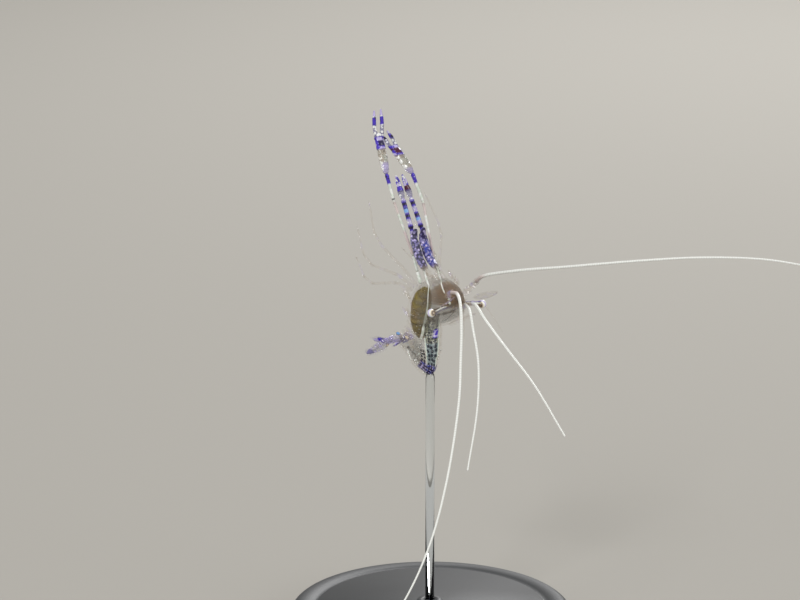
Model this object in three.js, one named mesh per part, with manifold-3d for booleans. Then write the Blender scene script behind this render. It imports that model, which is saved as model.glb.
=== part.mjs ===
// A cleaner shrimp, life size, hovering belly up on a plain display stand.
// The animal is modelled upright in its own axes and then turned into its pose:
// +X is forward, +Y is its left and +Z is up towards its back, with zero between the eyes.
// Everything is in millimetres.

import * as THREE from "three";
import { mergeVertices } from "three/addons/utils/BufferGeometryUtils.js";
import Module from "manifold-3d";

const wasm = await Module();
wasm.setup();

// ---------------------------------------------------------------- driving dimensions

const GAP = 0.04; // left between pieces that meet
const FEELER_RADIUS = 0.27; // no leg, fin or feeler is thinner than about half a millimetre
const AROUND_LIMB = 8;
const AROUND_FEELER = 6;
const AROUND_TRUNK = 18;
const FEELER_STEPS = 8; // rings along each length of a feeler

// The pose of the whole animal on its stand, in degrees, and the height of the eyes.
const HEADING = -60.3;
const NOSE_UP = 24.7;
const ROLL = -178.8;
const EYE_HEIGHT = 34.5;
const EYES_TO_STAND_AXIS = new THREE.Vector2(2.4, -5.0);

const EYE_RADIUS = 0.41;
const EYE_REACH = 2.85; // from the midline to the middle of each cornea

const STAND_RADIUS = 14;
const STAND_THICKNESS = 2.5;
const STAND_EDGE = 0.5; // the chamfer round the base
const ROD_RADIUS = 0.45;

// ---------------------------------------------------------------- materials

const paint = (color, roughness, metalness = 0) =>
  new THREE.MeshStandardMaterial({ color, roughness, metalness });

const CLEAR_SHELL = paint(0xa99f8c, 0.25);
const SPOTTED_SHELL = paint(0x6f6a9a, 0.3);
const BANDED_LIMB = paint(0x6a55c8, 0.3);
const WHITE_FEELER = paint(0xf2f4f0, 0.45);
const CORNEA = paint(0xe9dfd4, 0.15);
const STAND_PLASTIC = paint(0x3b3d40, 0.45);
const STAND_ROD_PLASTIC = paint(0xc9d4d8, 0.1);

// ---------------------------------------------------------------- small helpers

const vec = (x, y, z) => new THREE.Vector3(x, y, z);
const UP = vec(0, 0, 1);
const LEFT = vec(0, 1, 0);

// Each side's sign along Y.
const SIDES = { left: 1, right: -1 };

const mirrored = (point, side) => vec(point.x, point.y * side, point.z);

// A ring is an ellipse: its centre and its two half axes as vectors. With square under 1
// it bulges towards its corners, and with egg above 0 it is wider on its high side.
const ring = (centre, wide, high, { square = 1, egg = 0 } = {}) => ({
  centre,
  wide,
  high,
  square,
  egg,
});

const bulged = (value, square) => Math.sign(value) * Math.abs(value) ** square;

// A closed skin through rings: a capped cylinder whose rows are laid on the rings.
function skin(rings, around) {
  const rows = rings.length - 1;
  const geometry = new THREE.CylinderGeometry(1, 1, 1, around, rows);
  const place = geometry.getAttribute("position");
  for (let i = 0; i < place.count; i++) {
    const { centre, wide, high, square, egg } = rings[Math.round((place.getY(i) + 0.5) * rows)];
    const point = centre.clone();
    const up = bulged(place.getZ(i), square);
    point.addScaledVector(wide, bulged(place.getX(i), square) * (1 + egg * up));
    point.addScaledVector(high, up);
    place.setXYZ(i, point.x, point.y, point.z);
  }
  return geometry;
}

// The same rings grown by a margin all round and at both ends.
function grown(rings, margin) {
  const longer = (axis) => axis.clone().setLength(axis.length() + margin);
  const last = rings.length - 1;
  const beyond = (end, inner) =>
    rings[end].centre.clone().sub(rings[inner].centre).setLength(margin);
  return rings.map(({ centre, wide, high, square, egg }, i) => {
    const moved = centre.clone();
    if (i === 0) moved.add(beyond(0, 1));
    if (i === last) moved.add(beyond(last, last - 1));
    return ring(moved, longer(wide), longer(high), { square, egg });
  });
}

function toSolid(geometry) {
  const bare = geometry.clone();
  bare.deleteAttribute("normal");
  bare.deleteAttribute("uv");
  const merged = mergeVertices(bare, 1e-3);
  const triVerts = new Uint32Array(merged.index.array);
  const vertProperties = merged.getAttribute("position").array;
  const solid = new wasm.Manifold(new wasm.Mesh({ numProp: 3, vertProperties, triVerts }));
  if (solid.volume() > 0) return solid;
  for (let i = 0; i < triVerts.length; i += 3) {
    [triVerts[i + 1], triVerts[i + 2]] = [triVerts[i + 2], triVerts[i + 1]];
  }
  return new wasm.Manifold(new wasm.Mesh({ numProp: 3, vertProperties, triVerts }));
}

function toGeometry(solid) {
  const { numProp, vertProperties, triVerts } = solid.getMesh();
  const place = new Float32Array((vertProperties.length / numProp) * 3);
  for (let i = 0; i < place.length / 3; i++) {
    for (let axis = 0; axis < 3; axis++) place[3 * i + axis] = vertProperties[numProp * i + axis];
  }
  const geometry = new THREE.BufferGeometry();
  geometry.setAttribute("position", new THREE.BufferAttribute(place, 3));
  geometry.setIndex(Array.from(triVerts));
  geometry.computeVertexNormals();
  return geometry;
}

const solidOf = (rings, around) => toSolid(skin(rings, around));
const cutterOf = (rings, around) => toSolid(skin(grown(rings, GAP), around));

// The largest single body of a solid, without any chips that a cut leaves.
const mainBody = (solid) =>
  solid.decompose().reduce((best, body) => (body.volume() > best.volume() ? body : best));

const trimmed = (solid, ...cutters) =>
  mainBody(cutters.reduce((left, cutter) => left.subtract(cutter), solid));

const joined = (...solids) => solids.reduce((sum, solid) => sum.add(solid));

// ---------------------------------------------------------------- limbs, blades and feelers

// Rings along a run of points: radii gives each ring's radius, flat squeezes the second axis.
function tubeRings(points, radii, { flat = 1, wideAlong = LEFT } = {}) {
  return points.map((centre, i) => {
    const before = points[Math.max(i - 1, 0)];
    const after = points[Math.min(i + 1, points.length - 1)];
    const along = after.clone().sub(before).normalize();
    const wide = wideAlong.clone().addScaledVector(along, -wideAlong.dot(along)).normalize();
    const high = along.clone().cross(wide).normalize();
    const radius = radii[i];
    return ring(centre, wide.multiplyScalar(radius), high.multiplyScalar(radius * flat));
  });
}

// A jointed limb: each segment is straight, a little waisted at its joints.
function limbRings(joints, radii, options) {
  const points = [joints[0]];
  const sizes = [radii[0]];
  for (let i = 1; i < joints.length; i++) {
    const [from, to] = [joints[i - 1], joints[i]];
    for (const share of [0.2, 0.8]) {
      points.push(from.clone().lerp(to, share));
      sizes.push(THREE.MathUtils.lerp(radii[i - 1], radii[i], share));
    }
    points.push(to);
    sizes.push(radii[i] * (i < joints.length - 1 ? 0.96 : 0.6));
  }
  return tubeRings(points, sizes, options);
}

// A leaf-shaped blade, widest at a third of its length.
function bladeRings(from, to, halfWidth, halfThickness, wideAlong) {
  const outline = [0.45, 0.8, 1, 0.95, 0.75, 0.35];
  return outline.map((share, i) => {
    const centre = from.clone().lerp(to, i / (outline.length - 1));
    const along = to.clone().sub(from).normalize();
    const wide = wideAlong.clone().addScaledVector(along, -wideAlong.dot(along)).normalize();
    const high = along.clone().cross(wide);
    return ring(
      centre,
      wide.multiplyScalar(Math.max(halfWidth * share, halfThickness)),
      high.multiplyScalar(halfThickness),
    );
  });
}

// One length of a feeler that follows a smooth curve.
function feelerRings(curve, from, to, steps) {
  const points = [];
  const radii = [];
  for (let i = 0; i <= steps; i++) {
    points.push(curve.getPoint(THREE.MathUtils.lerp(from, to, i / steps)));
    radii.push(FEELER_RADIUS);
  }
  const along = points[steps].clone().sub(points[0]).normalize();
  const wideAlong = Math.abs(along.y) > 0.8 ? UP : LEFT;
  return tubeRings(points, radii, { wideAlong });
}

// ---------------------------------------------------------------- head and carapace

// The carapace is fullest above its middle. The abdomen's plates hang straight-sided, and on
// the hump they rise to a narrow keel.
const CARAPACE_SECTION = { square: 0.92, egg: 0.16 };
const ABDOMEN_SECTION = { square: 0.78, egg: -0.06 };
const HUMP_SECTION = { square: 1.05, egg: -0.38 };

// A ring of the trunk hangs between a point on the back and one on the belly.
function trunkRing([backX, backZ], [bellyX, bellyZ], halfWidth, section = CARAPACE_SECTION) {
  const back = vec(backX, 0, backZ);
  const belly = vec(bellyX, 0, bellyZ);
  const centre = back.clone().add(belly).multiplyScalar(0.5);
  return ring(centre, LEFT.clone().multiplyScalar(halfWidth), back.sub(centre), section);
}

const CARAPACE_RINGS = [
  trunkRing([0.45, 0.35], [0.8, -1.1], 0.5),
  trunkRing([0.1, 0.72], [0.55, -1.8], 0.85),
  trunkRing([-0.5, 0.98], [0.05, -2.6], 1.15),
  trunkRing([-1.5, 1.12], [-1.1, -3.35], 1.42),
  trunkRing([-2.8, 1.15], [-2.6, -3.8], 1.6),
  trunkRing([-4.1, 1.02], [-4.5, -3.9], 1.66),
  trunkRing([-5.4, 0.8], [-6.4, -3.4], 1.58),
];

const ROSTRUM_RINGS = [
  ring(vec(-1.6, 0, 1.1), vec(0, 0.26, 0), vec(0, 0, 0.3)),
  ring(vec(-0.2, 0, 1.1), vec(0, 0.28, 0), vec(0, 0, 0.42)),
  ring(vec(1.2, 0, 1.12), vec(0, 0.26, 0), vec(0, 0, 0.4)),
  ring(vec(2.4, 0, 1.16), vec(0, 0.25, 0), vec(0, 0, 0.3)),
  ring(vec(3.2, 0, 1.2), vec(0, 0.14, 0), vec(0, 0, 0.12)),
];

const carapaceCutter = cutterOf(CARAPACE_RINGS, AROUND_TRUNK);

function carapace() {
  return solidOf(CARAPACE_RINGS, AROUND_TRUNK);
}

function rostrum() {
  return trimmed(solidOf(ROSTRUM_RINGS, AROUND_LIMB), carapaceCutter);
}

// ---------------------------------------------------------------- eyes

const eyeCentre = (side) => mirrored(vec(-0.1, EYE_REACH, 0.06), side);

function eyeball(side, margin) {
  const ball = new THREE.SphereGeometry(EYE_RADIUS + margin, 10, 8);
  const centre = eyeCentre(side);
  ball.translate(centre.x, centre.y, centre.z);
  return toSolid(ball);
}

function eyestalk(side) {
  const joints = [vec(-0.15, 0.5, -0.35), vec(-0.1, 1.5, -0.24), vec(-0.1, EYE_REACH, 0.06)];
  const points = joints.map((point) => mirrored(point, side));
  const rings = tubeRings(points, [0.28, 0.27, 0.36], { wideAlong: UP });
  return trimmed(solidOf(rings, AROUND_LIMB), carapaceCutter, eyeball(side, GAP));
}

// ---------------------------------------------------------------- antennules and antennae

const ANTENNULE_TIP = vec(2.5, 0.42, 0.1);

const antennuleStemRings = (side) =>
  limbRings(
    [vec(0.1, 0.45, 0.0), vec(1.5, 0.46, 0.02), vec(2.1, 0.44, 0.06), ANTENNULE_TIP].map((point) =>
      mirrored(point, side),
    ),
    [0.34, 0.36, 0.32, 0.44],
  );

// The short outer branch beside each long white one.
const antennuleBranchRings = (side) =>
  tubeRings(
    [vec(2.1, 0.5, 0.0), vec(2.95, 1.1, 0.45), vec(3.4, 1.6, 1.8), vec(3.6, 2.1, 3.4)].map((point) =>
      mirrored(point, side),
    ),
    [0.24, 0.25, 0.25, 0.2],
  );

const ANTENNULE_CURVES = {
  left: new THREE.CatmullRomCurve3([
    vec(2.3, 0.42, 0.1),
    vec(3.1, 0.55, 0.7),
    vec(3.7, 1.0, 2.8),
    vec(4.25, 1.6, 6.0),
    vec(4.1, 2.8, 10.3),
    vec(2.8, 4.5, 15.5),
  ]),
  right: new THREE.CatmullRomCurve3([
    vec(2.3, -0.42, 0.1),
    vec(3.0, -0.38, 0.5),
    vec(3.6, -0.6, 2.0),
    vec(4.9, -1.5, 5.4),
    vec(6.0, -2.7, 9.0),
    vec(6.6, -4.35, 14.4),
  ]),
};

const ANTENNA_TIPS = { left: vec(2.2, 1.38, -1.3), right: vec(2.5, -1.42, -1.95) };

const antennaStemRings = (name) => {
  const tip = ANTENNA_TIPS[name];
  const root = vec(0.2, 0.95 * SIDES[name], -1.2);
  return limbRings([root, root.clone().lerp(tip, 0.55), tip], [0.42, 0.4, 0.46]);
};

// The broad clear scale outside each antenna's stem.
function antennaScaleRings(side) {
  const root = mirrored(vec(0.6, 1.7, -0.5), side);
  const tip = mirrored(vec(4.0, 2.45, -0.45), side);
  return bladeRings(root, tip, 0.62, 0.25, mirrored(vec(-0.1, 1, 0.5), side));
}

const ANTENNA_CURVES = {
  left: new THREE.CatmullRomCurve3([
    vec(2.0, 1.36, -1.3),
    vec(3.1, 1.46, -0.95),
    vec(3.7, 1.7, 0.0),
    vec(4.07, 2.45, 2.6),
    vec(3.9, 3.3, 5.8),
    vec(3.5, 4.1, 9.0),
    vec(1.7, 6.3, 16.0),
    vec(-0.8, 8.3, 21.5),
    vec(-3.7, 10.6, 25.9),
    vec(-8.4, 13.0, 29.6),
  ]),
  right: new THREE.CatmullRomCurve3([
    vec(2.3, -1.4, -1.95),
    vec(3.4, -1.6, -2.15),
    vec(6.2, -3.9, -1.75),
    vec(8.6, -6.9, -1.1),
    vec(12.1, -13.5, 0.0),
    vec(14.0, -18.9, 0.9),
    vec(15.6, -24.4, 2.2),
    vec(16.4, -28.2, 3.5),
    vec(16.6, -33.4, 5.4),
  ]),
};

// ---------------------------------------------------------------- mouth limbs and pincer legs

const MAXILLIPED_JOINTS = {
  left: [
    vec(-1.9, 0.65, -3.0),
    vec(-2.6, 0.95, -4.4),
    vec(-3.0, 1.1, -5.6),
    vec(-3.35, 1.05, -7.7),
    vec(-2.8, 0.9, -8.5),
  ],
  right: [
    vec(-1.9, -0.6, -3.0),
    vec(-2.6, -0.25, -4.4),
    vec(-3.0, 0.1, -5.6),
    vec(-3.35, 0.09, -7.7),
    vec(-2.8, 0.0, -8.5),
  ],
};
const MAXILLIPED_RADII = [0.3, 0.34, 0.42, 0.4, 0.25];

const maxillipedRings = (name) =>
  limbRings(MAXILLIPED_JOINTS[name], MAXILLIPED_RADII, { flat: 0.72 });

// The first, smaller pair of pincer legs: arm joints, then the hand from wrist to tips.
const smallArmJoints = (name) =>
  [
    vec(-2.9, 0.75, -3.4),
    vec(-3.6, 0.58, -5.2),
    vec(-4.2, 0.56, -8.7),
    vec(-4.7, 0.45, -11.9),
  ].map((point) => mirrored(point, SIDES[name]));
const SMALL_HAND_TIPS = { left: vec(-5.0, 0.42, -14.25), right: vec(-5.0, -0.28, -14.25) };
const SMALL_ARM_RADII = [0.3, 0.27, 0.27, 0.27];

const smallArmRings = (name) => limbRings(smallArmJoints(name), SMALL_ARM_RADII);

const smallHandRings = (name) => {
  const wrist = smallArmJoints(name).at(-1);
  const tip = SMALL_HAND_TIPS[name];
  const points = [0, 0.2, 0.5, 0.8, 1].map((share) => wrist.clone().lerp(tip, share));
  return tubeRings(points, [0.25, 0.32, 0.34, 0.3, 0.16]);
};

// The second, long pair: arm joints, palm, and two fingers.
const LONG_ARM_JOINTS = {
  left: [
    vec(-3.6, 1.25, -3.4),
    vec(-4.0, 1.1, -4.65),
    vec(-4.25, 1.05, -6.3),
    vec(-4.8, 1.42, -11.9),
    vec(-5.0, 1.42, -14.6),
  ],
  right: [
    vec(-3.6, -1.25, -3.4),
    vec(-3.9, -1.15, -4.3),
    vec(-4.1, -1.05, -5.7),
    vec(-4.75, -1.7, -11.3),
    vec(-5.0, -1.4, -14.3),
  ],
};
const LONG_ARM_RADII = [0.3, 0.28, 0.26, 0.26, 0.3];
const PALM_ENDS = { left: vec(-5.2, 1.22, -18.6), right: vec(-5.1, -0.05, -17.2) };
const FIXED_FINGER_TIPS = { left: vec(-5.2, 1.1, -20.9), right: vec(-5.15, 0.12, -18.75) };
const FREE_FINGER_TIPS = { left: vec(-5.15, 0.3, -20.95), right: vec(-5.6, 0.42, -18.3) };

const longArmRings = (name) => limbRings(LONG_ARM_JOINTS[name], LONG_ARM_RADII);

function palmRings(name) {
  const wrist = LONG_ARM_JOINTS[name].at(-1);
  const points = [0, 0.15, 0.5, 0.85, 1].map((share) => wrist.clone().lerp(PALM_ENDS[name], share));
  return tubeRings(points, [0.32, 0.44, 0.5, 0.48, 0.4]);
}

function fingerRings(name, tip, sideways) {
  const knuckle = PALM_ENDS[name].clone();
  const wrist = LONG_ARM_JOINTS[name].at(-1);
  const root = knuckle.clone().lerp(wrist, 0.1).add(vec(0, sideways, 0));
  const middle = root.clone().lerp(tip, 0.5).add(vec(0, sideways * 0.25, 0));
  return tubeRings([root, root.clone().lerp(middle, 0.5), middle, tip], [0.26, 0.26, 0.25, 0.15]);
}

// From the palm's middle line out to the root of the fixed finger.
const FINGER_SPREAD = { left: 0.3, right: -0.27 };

// ---------------------------------------------------------------- walking legs

// Joints of the left leg of each pair, hip to tip.
const WALKING_LEGS = [
  [
    vec(-4.35, 1.35, -3.3),
    vec(-4.9, 2.0, -5.2),
    vec(-5.7, 3.4, -7.9),
    vec(-6.1, 3.6, -9.4),
    vec(-6.6, 3.1, -12.6),
  ],
  [
    vec(-5.0, 1.35, -3.3),
    vec(-5.9, 2.2, -4.8),
    vec(-8.1, 3.6, -6.5),
    vec(-9.0, 3.7, -7.8),
    vec(-10.1, 3.1, -10.8),
  ],
  [
    vec(-5.65, 1.3, -3.1),
    vec(-6.8, 2.0, -4.2),
    vec(-9.7, 3.1, -4.9),
    vec(-10.9, 3.2, -5.9),
    vec(-12.7, 2.6, -8.4),
  ],
];
const WALKING_LEG_RADII = [0.3, 0.28, 0.27, 0.26, 0.25];

const walkingLegRings = (joints, side) =>
  limbRings(
    joints.map((point) => mirrored(point, side)),
    WALKING_LEG_RADII,
  );

// ---------------------------------------------------------------- abdomen and tail fan

// Stations along the raised abdomen: back point, belly point, half width, and how far the
// section goes from the plain one to the hump's.
const ABDOMEN_STATIONS = [
  [[-5.48, 0.76], [-6.6, -3.1], 1.5, 0],
  [[-5.85, 1.8], [-7.9, -1.5], 1.5, 0],
  [[-6.35, 3.45], [-8.6, 0.5], 1.46, 0.35],
  [[-7.2, 4.8], [-8.9, 1.4], 1.38, 1],
  [[-8.75, 4.95], [-9.1, 1.9], 1.24, 0.9],
  [[-9.8, 3.7], [-9.4, 1.6], 1.04, 0.4],
  [[-10.75, 2.6], [-10.3, 0.9], 0.86, 0.1],
  [[-12.2, 1.3], [-11.5, 0.15], 0.7, 0],
];
// Where each plate begins and ends on those stations.
const PLATE_EDGES = [0, 1, 2, 4, 5, 6, 7];

const stationCurve = (pick) => new THREE.CatmullRomCurve3(ABDOMEN_STATIONS.map(pick));
const backCurve = stationCurve(([back]) => vec(back[0], 0, back[1]));
const bellyCurve = stationCurve(([, belly]) => vec(belly[0], 0, belly[1]));
const widthCurve = stationCurve(([, , halfWidth]) => vec(halfWidth, 0, 0));
const humpCurve = stationCurve(([, , , hump], i) => vec(hump, i, 0));

function abdomenRing(station) {
  const share = station / (ABDOMEN_STATIONS.length - 1);
  const back = backCurve.getPoint(share);
  const belly = bellyCurve.getPoint(share);
  const halfWidth = widthCurve.getPoint(share).x;
  const hump = THREE.MathUtils.clamp(humpCurve.getPoint(share).x, 0, 1);
  const blend = (key) => THREE.MathUtils.lerp(ABDOMEN_SECTION[key], HUMP_SECTION[key], hump);
  const section = { square: blend("square"), egg: blend("egg") };
  return trunkRing([back.x, back.z], [belly.x, belly.z], halfWidth, section);
}

function plateRings(index) {
  const [from, to] = [PLATE_EDGES[index], PLATE_EDGES[index + 1]];
  const steps = 2 * (to - from) + 1;
  const inset = GAP / 2;
  const rings = [];
  for (let i = 0; i <= steps; i++) {
    rings.push(abdomenRing(THREE.MathUtils.lerp(from + inset, to - inset, i / steps)));
  }
  return rings;
}

// Swimmeret roots and tips of the left side, one for each of the first five plates.
const SWIMMERETS = [
  [vec(-6.9, 0.75, -1.6), vec(-7.75, 0.95, -3.7)],
  [vec(-7.8, 0.75, 0.0), vec(-8.5, 0.95, -2.0)],
  [vec(-8.7, 0.7, 1.9), vec(-9.1, 0.85, -0.2)],
  [vec(-9.45, 0.55, 2.0), vec(-9.95, 0.7, 0.0)],
  [vec(-10.35, 0.5, 1.2), vec(-11.05, 1.3, -0.05)],
];

function swimmeret([root, tip], side) {
  const rings = bladeRings(mirrored(root, side), mirrored(tip, side), 0.4, 0.25, LEFT);
  return solidOf(rings, AROUND_FEELER);
}

function abdomenPlate(index) {
  const plate = solidOf(plateRings(index), AROUND_TRUNK);
  if (index >= SWIMMERETS.length) return plate;
  const neighbours = [index - 1, index + 1].filter((other) => other >= 0);
  const cutters = neighbours.map((other) => cutterOf(plateRings(other), AROUND_TRUNK));
  const paddles = Object.values(SIDES).map((side) =>
    trimmed(swimmeret(SWIMMERETS[index], side), ...cutters),
  );
  return joined(plate, ...paddles);
}

const lastPlateCutter = () => cutterOf(plateRings(5), AROUND_TRUNK);

const TELSON_RINGS = [
  ring(vec(-11.6, 0, 0.85), vec(0, 0.42, 0), vec(0.1, 0, 0.3)),
  ring(vec(-12.6, 0, 0.72), vec(0, 0.4, 0), vec(0, 0, 0.27)),
  ring(vec(-14.0, 0, 0.6), vec(0, 0.32, 0), vec(0, 0, 0.26)),
  ring(vec(-15.2, 0, 0.52), vec(0, 0.25, 0), vec(0, 0, 0.2)),
];

function telson() {
  return trimmed(solidOf(TELSON_RINGS, AROUND_LIMB), lastPlateCutter());
}

// The tips of the fan's blades: the left inner one dips, the outer ones are lifted.
const INNER_BLADE_TIPS = { left: vec(-15.7, 1.2, -0.05), right: vec(-15.5, -1.0, 0.7) };
const OUTER_BLADE_TIPS = { left: vec(-15.4, 2.5, 1.2), right: vec(-15.4, -2.3, 0.7) };

// Each side of the tail fan: an inner and an outer blade on one short root.
function uropod(name) {
  const side = SIDES[name];
  const root = vec(-11.7, 0.35, 0.5);
  const knuckle = vec(-12.5, 0.85, 0.45);
  const stem = limbRings([mirrored(root, side), mirrored(knuckle, side)], [0.3, 0.32]);
  const inner = bladeRings(
    mirrored(vec(-12.3, 0.88, 0.6), side),
    INNER_BLADE_TIPS[name],
    0.42,
    0.25,
    LEFT,
  );
  const outer = bladeRings(
    mirrored(vec(-12.2, 0.95, 0.4), side),
    OUTER_BLADE_TIPS[name],
    0.55,
    0.25,
    mirrored(vec(0.3, 1, 0), side),
  );
  const blades = joined(solidOf(inner, AROUND_LIMB), solidOf(outer, AROUND_LIMB));
  const telsonCutter = cutterOf(TELSON_RINGS, AROUND_LIMB);
  return trimmed(joined(solidOf(stem, AROUND_LIMB), blades), lastPlateCutter(), telsonCutter);
}

// ---------------------------------------------------------------- stand

function standBase() {
  const profile = [
    [0, 0],
    [STAND_RADIUS - STAND_EDGE, 0],
    [STAND_RADIUS, STAND_EDGE],
    [STAND_RADIUS, STAND_THICKNESS - STAND_EDGE],
    [STAND_RADIUS - STAND_EDGE, STAND_THICKNESS],
    [0, STAND_THICKNESS],
  ].map(([radius, height]) => new THREE.Vector2(radius, height));
  const geometry = new THREE.LatheGeometry(profile, 40);
  geometry.rotateX(Math.PI / 2);
  return toSolid(geometry);
}

// ---------------------------------------------------------------- assembly

const model = new THREE.Group();
const animal = new THREE.Group();
animal.rotation.set(
  THREE.MathUtils.degToRad(ROLL),
  THREE.MathUtils.degToRad(-NOSE_UP),
  THREE.MathUtils.degToRad(HEADING),
  "ZYX",
);
animal.position.set(EYES_TO_STAND_AXIS.x, EYES_TO_STAND_AXIS.y, EYE_HEIGHT);
model.add(animal);

function add(group, name, solid, material) {
  const mesh = new THREE.Mesh(toGeometry(solid), material);
  mesh.name = name;
  group.add(mesh);
  return mesh;
}

function addHead() {
  add(animal, "carapace", carapace(), CLEAR_SHELL);
  add(animal, "rostrum", rostrum(), CLEAR_SHELL);
  for (const [name, side] of Object.entries(SIDES)) {
    add(animal, `eyestalk_${name}`, eyestalk(side), CLEAR_SHELL);
    add(animal, `eye_${name}`, eyeball(side, 0), CORNEA);
  }
}

// The feeler's lengths run from its stem to its tip, each cut back from the one before.
function addFeeler(prefix, curve, lengths, stemCutter) {
  for (let i = 0; i < lengths; i++) {
    const inset = i === 0 ? 0 : GAP / 2 / curve.getLength();
    const end = i === lengths - 1 ? 1 : (i + 1) / lengths - GAP / 2 / curve.getLength();
    const rings = feelerRings(curve, i / lengths + inset, end, FEELER_STEPS);
    const length = solidOf(rings, AROUND_FEELER);
    const solid = i === 0 ? trimmed(length, stemCutter) : length;
    add(animal, `${prefix}_${i + 1}`, solid, WHITE_FEELER);
  }
}

function addFeelers() {
  for (const [name, side] of Object.entries(SIDES)) {
    const stem = antennuleStemRings(side);
    const branch = solidOf(antennuleBranchRings(side), AROUND_FEELER);
    const stemSolid = trimmed(solidOf(stem, AROUND_LIMB), carapaceCutter);
    add(animal, `antennule_${name}`, joined(stemSolid, branch), CLEAR_SHELL);
    const branchCutter = cutterOf(antennuleBranchRings(side), AROUND_FEELER);
    const antennuleCutter = cutterOf(stem, AROUND_LIMB).add(branchCutter);
    addFeeler(`antennule_${name}_feeler`, ANTENNULE_CURVES[name], 2, antennuleCutter);

    const antennaStem = antennaStemRings(name);
    const antennaCutter = cutterOf(antennaStem, AROUND_LIMB);
    const antennaSolid = trimmed(solidOf(antennaStem, AROUND_LIMB), carapaceCutter);
    add(animal, `antenna_${name}`, antennaSolid, CLEAR_SHELL);
    const scale = solidOf(antennaScaleRings(side), AROUND_LIMB);
    const scaleSolid = trimmed(scale, carapaceCutter, antennaCutter);
    add(animal, `antenna_scale_${name}`, scaleSolid, CLEAR_SHELL);
    addFeeler(`antenna_${name}_feeler`, ANTENNA_CURVES[name], 3, antennaCutter);
  }
}

function addPincerLegs() {
  for (const name of Object.keys(SIDES)) {
    const maxilliped = solidOf(maxillipedRings(name), AROUND_LIMB);
    add(animal, `maxilliped_${name}`, trimmed(maxilliped, carapaceCutter), BANDED_LIMB);

    const smallArm = trimmed(solidOf(smallArmRings(name), AROUND_LIMB), carapaceCutter);
    add(animal, `small_pincer_leg_${name}`, smallArm, BANDED_LIMB);
    const smallHand = solidOf(smallHandRings(name), AROUND_LIMB);
    const smallCutter = cutterOf(smallArmRings(name), AROUND_LIMB);
    add(animal, `small_pincer_${name}`, trimmed(smallHand, smallCutter), BANDED_LIMB);

    const longArm = trimmed(solidOf(longArmRings(name), AROUND_LIMB), carapaceCutter);
    add(animal, `long_pincer_leg_${name}`, longArm, WHITE_FEELER);
    const spread = FINGER_SPREAD[name];
    const palm = solidOf(palmRings(name), AROUND_LIMB);
    const fixed = fingerRings(name, FIXED_FINGER_TIPS[name], spread);
    const hand = joined(palm, solidOf(fixed, AROUND_FEELER));
    const free = fingerRings(name, FREE_FINGER_TIPS[name], -spread);
    const freeCutter = cutterOf(free, AROUND_FEELER);
    const armCutter = cutterOf(longArmRings(name), AROUND_LIMB);
    add(animal, `long_pincer_${name}`, trimmed(hand, armCutter, freeCutter), BANDED_LIMB);
    add(animal, `long_pincer_finger_${name}`, solidOf(free, AROUND_FEELER), BANDED_LIMB);
  }
}

function addWalkingLegs() {
  WALKING_LEGS.forEach((joints, i) => {
    for (const [name, side] of Object.entries(SIDES)) {
      const leg = solidOf(walkingLegRings(joints, side), AROUND_FEELER);
      add(animal, `walking_leg_${i + 1}_${name}`, trimmed(leg, carapaceCutter), CLEAR_SHELL);
    }
  });
}

function addAbdomen() {
  for (let i = 0; i < PLATE_EDGES.length - 1; i++) {
    add(animal, `abdomen_${i + 1}`, trimmed(abdomenPlate(i), carapaceCutter), SPOTTED_SHELL);
  }
  add(animal, "telson", telson(), SPOTTED_SHELL);
  for (const [name, side] of Object.entries(SIDES)) {
    add(animal, `uropod_${name}`, uropod(name), SPOTTED_SHELL);
  }
}

// The rod rises to the hump of the abdomen, which hangs lowest, and is cut to its shape.
function addStand() {
  add(model, "stand_base", standBase(), STAND_PLASTIC);
  animal.updateMatrixWorld(true);
  const hump = vec(-7.8, 0, 4.4).applyMatrix4(animal.matrixWorld);
  const foot = STAND_THICKNESS + GAP;
  const shaft = new THREE.CylinderGeometry(ROD_RADIUS, ROD_RADIUS, hump.z - foot, 20, 1);
  shaft.rotateX(Math.PI / 2);
  shaft.translate(hump.x, hump.y, (hump.z + foot) / 2);
  shaft.applyMatrix4(animal.matrixWorld.clone().invert());
  const plates = [1, 2, 3].map((index) => cutterOf(plateRings(index), AROUND_TRUNK));
  const rod = toGeometry(trimmed(toSolid(shaft), ...plates));
  rod.applyMatrix4(animal.matrixWorld);
  const mesh = new THREE.Mesh(rod, STAND_ROD_PLASTIC);
  mesh.name = "stand_rod";
  model.add(mesh);
}

addHead();
addFeelers();
addPincerLegs();
addWalkingLegs();
addAbdomen();
addStand();

export default model;
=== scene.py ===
"""A life-size cleaner shrimp that hangs belly up on a display stand: its shell, limbs, organs,
stand and studio. The file is laid out as an add-on and run as a script."""

import math

import bmesh
import bpy
from bpy.props import FloatProperty, FloatVectorProperty, IntProperty, PointerProperty
from mathutils import Matrix, Vector


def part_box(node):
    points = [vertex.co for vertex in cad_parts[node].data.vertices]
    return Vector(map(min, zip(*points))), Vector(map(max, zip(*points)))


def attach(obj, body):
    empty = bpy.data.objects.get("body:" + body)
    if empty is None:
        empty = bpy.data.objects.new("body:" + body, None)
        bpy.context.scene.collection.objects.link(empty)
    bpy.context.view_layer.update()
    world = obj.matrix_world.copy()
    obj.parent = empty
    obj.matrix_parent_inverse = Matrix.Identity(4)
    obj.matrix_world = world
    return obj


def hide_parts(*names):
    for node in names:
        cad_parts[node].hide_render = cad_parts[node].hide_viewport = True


bl_info = {
    "name": "Cleaner shrimp",
    "version": (1, 0, 0),
    "blender": (4, 5, 0),
    "location": "3D View > Sidebar > Shrimp",
    "description": "Builds a clear, violet-spotted cleaner shrimp on its display stand",
    "category": "Object",
}

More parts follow.
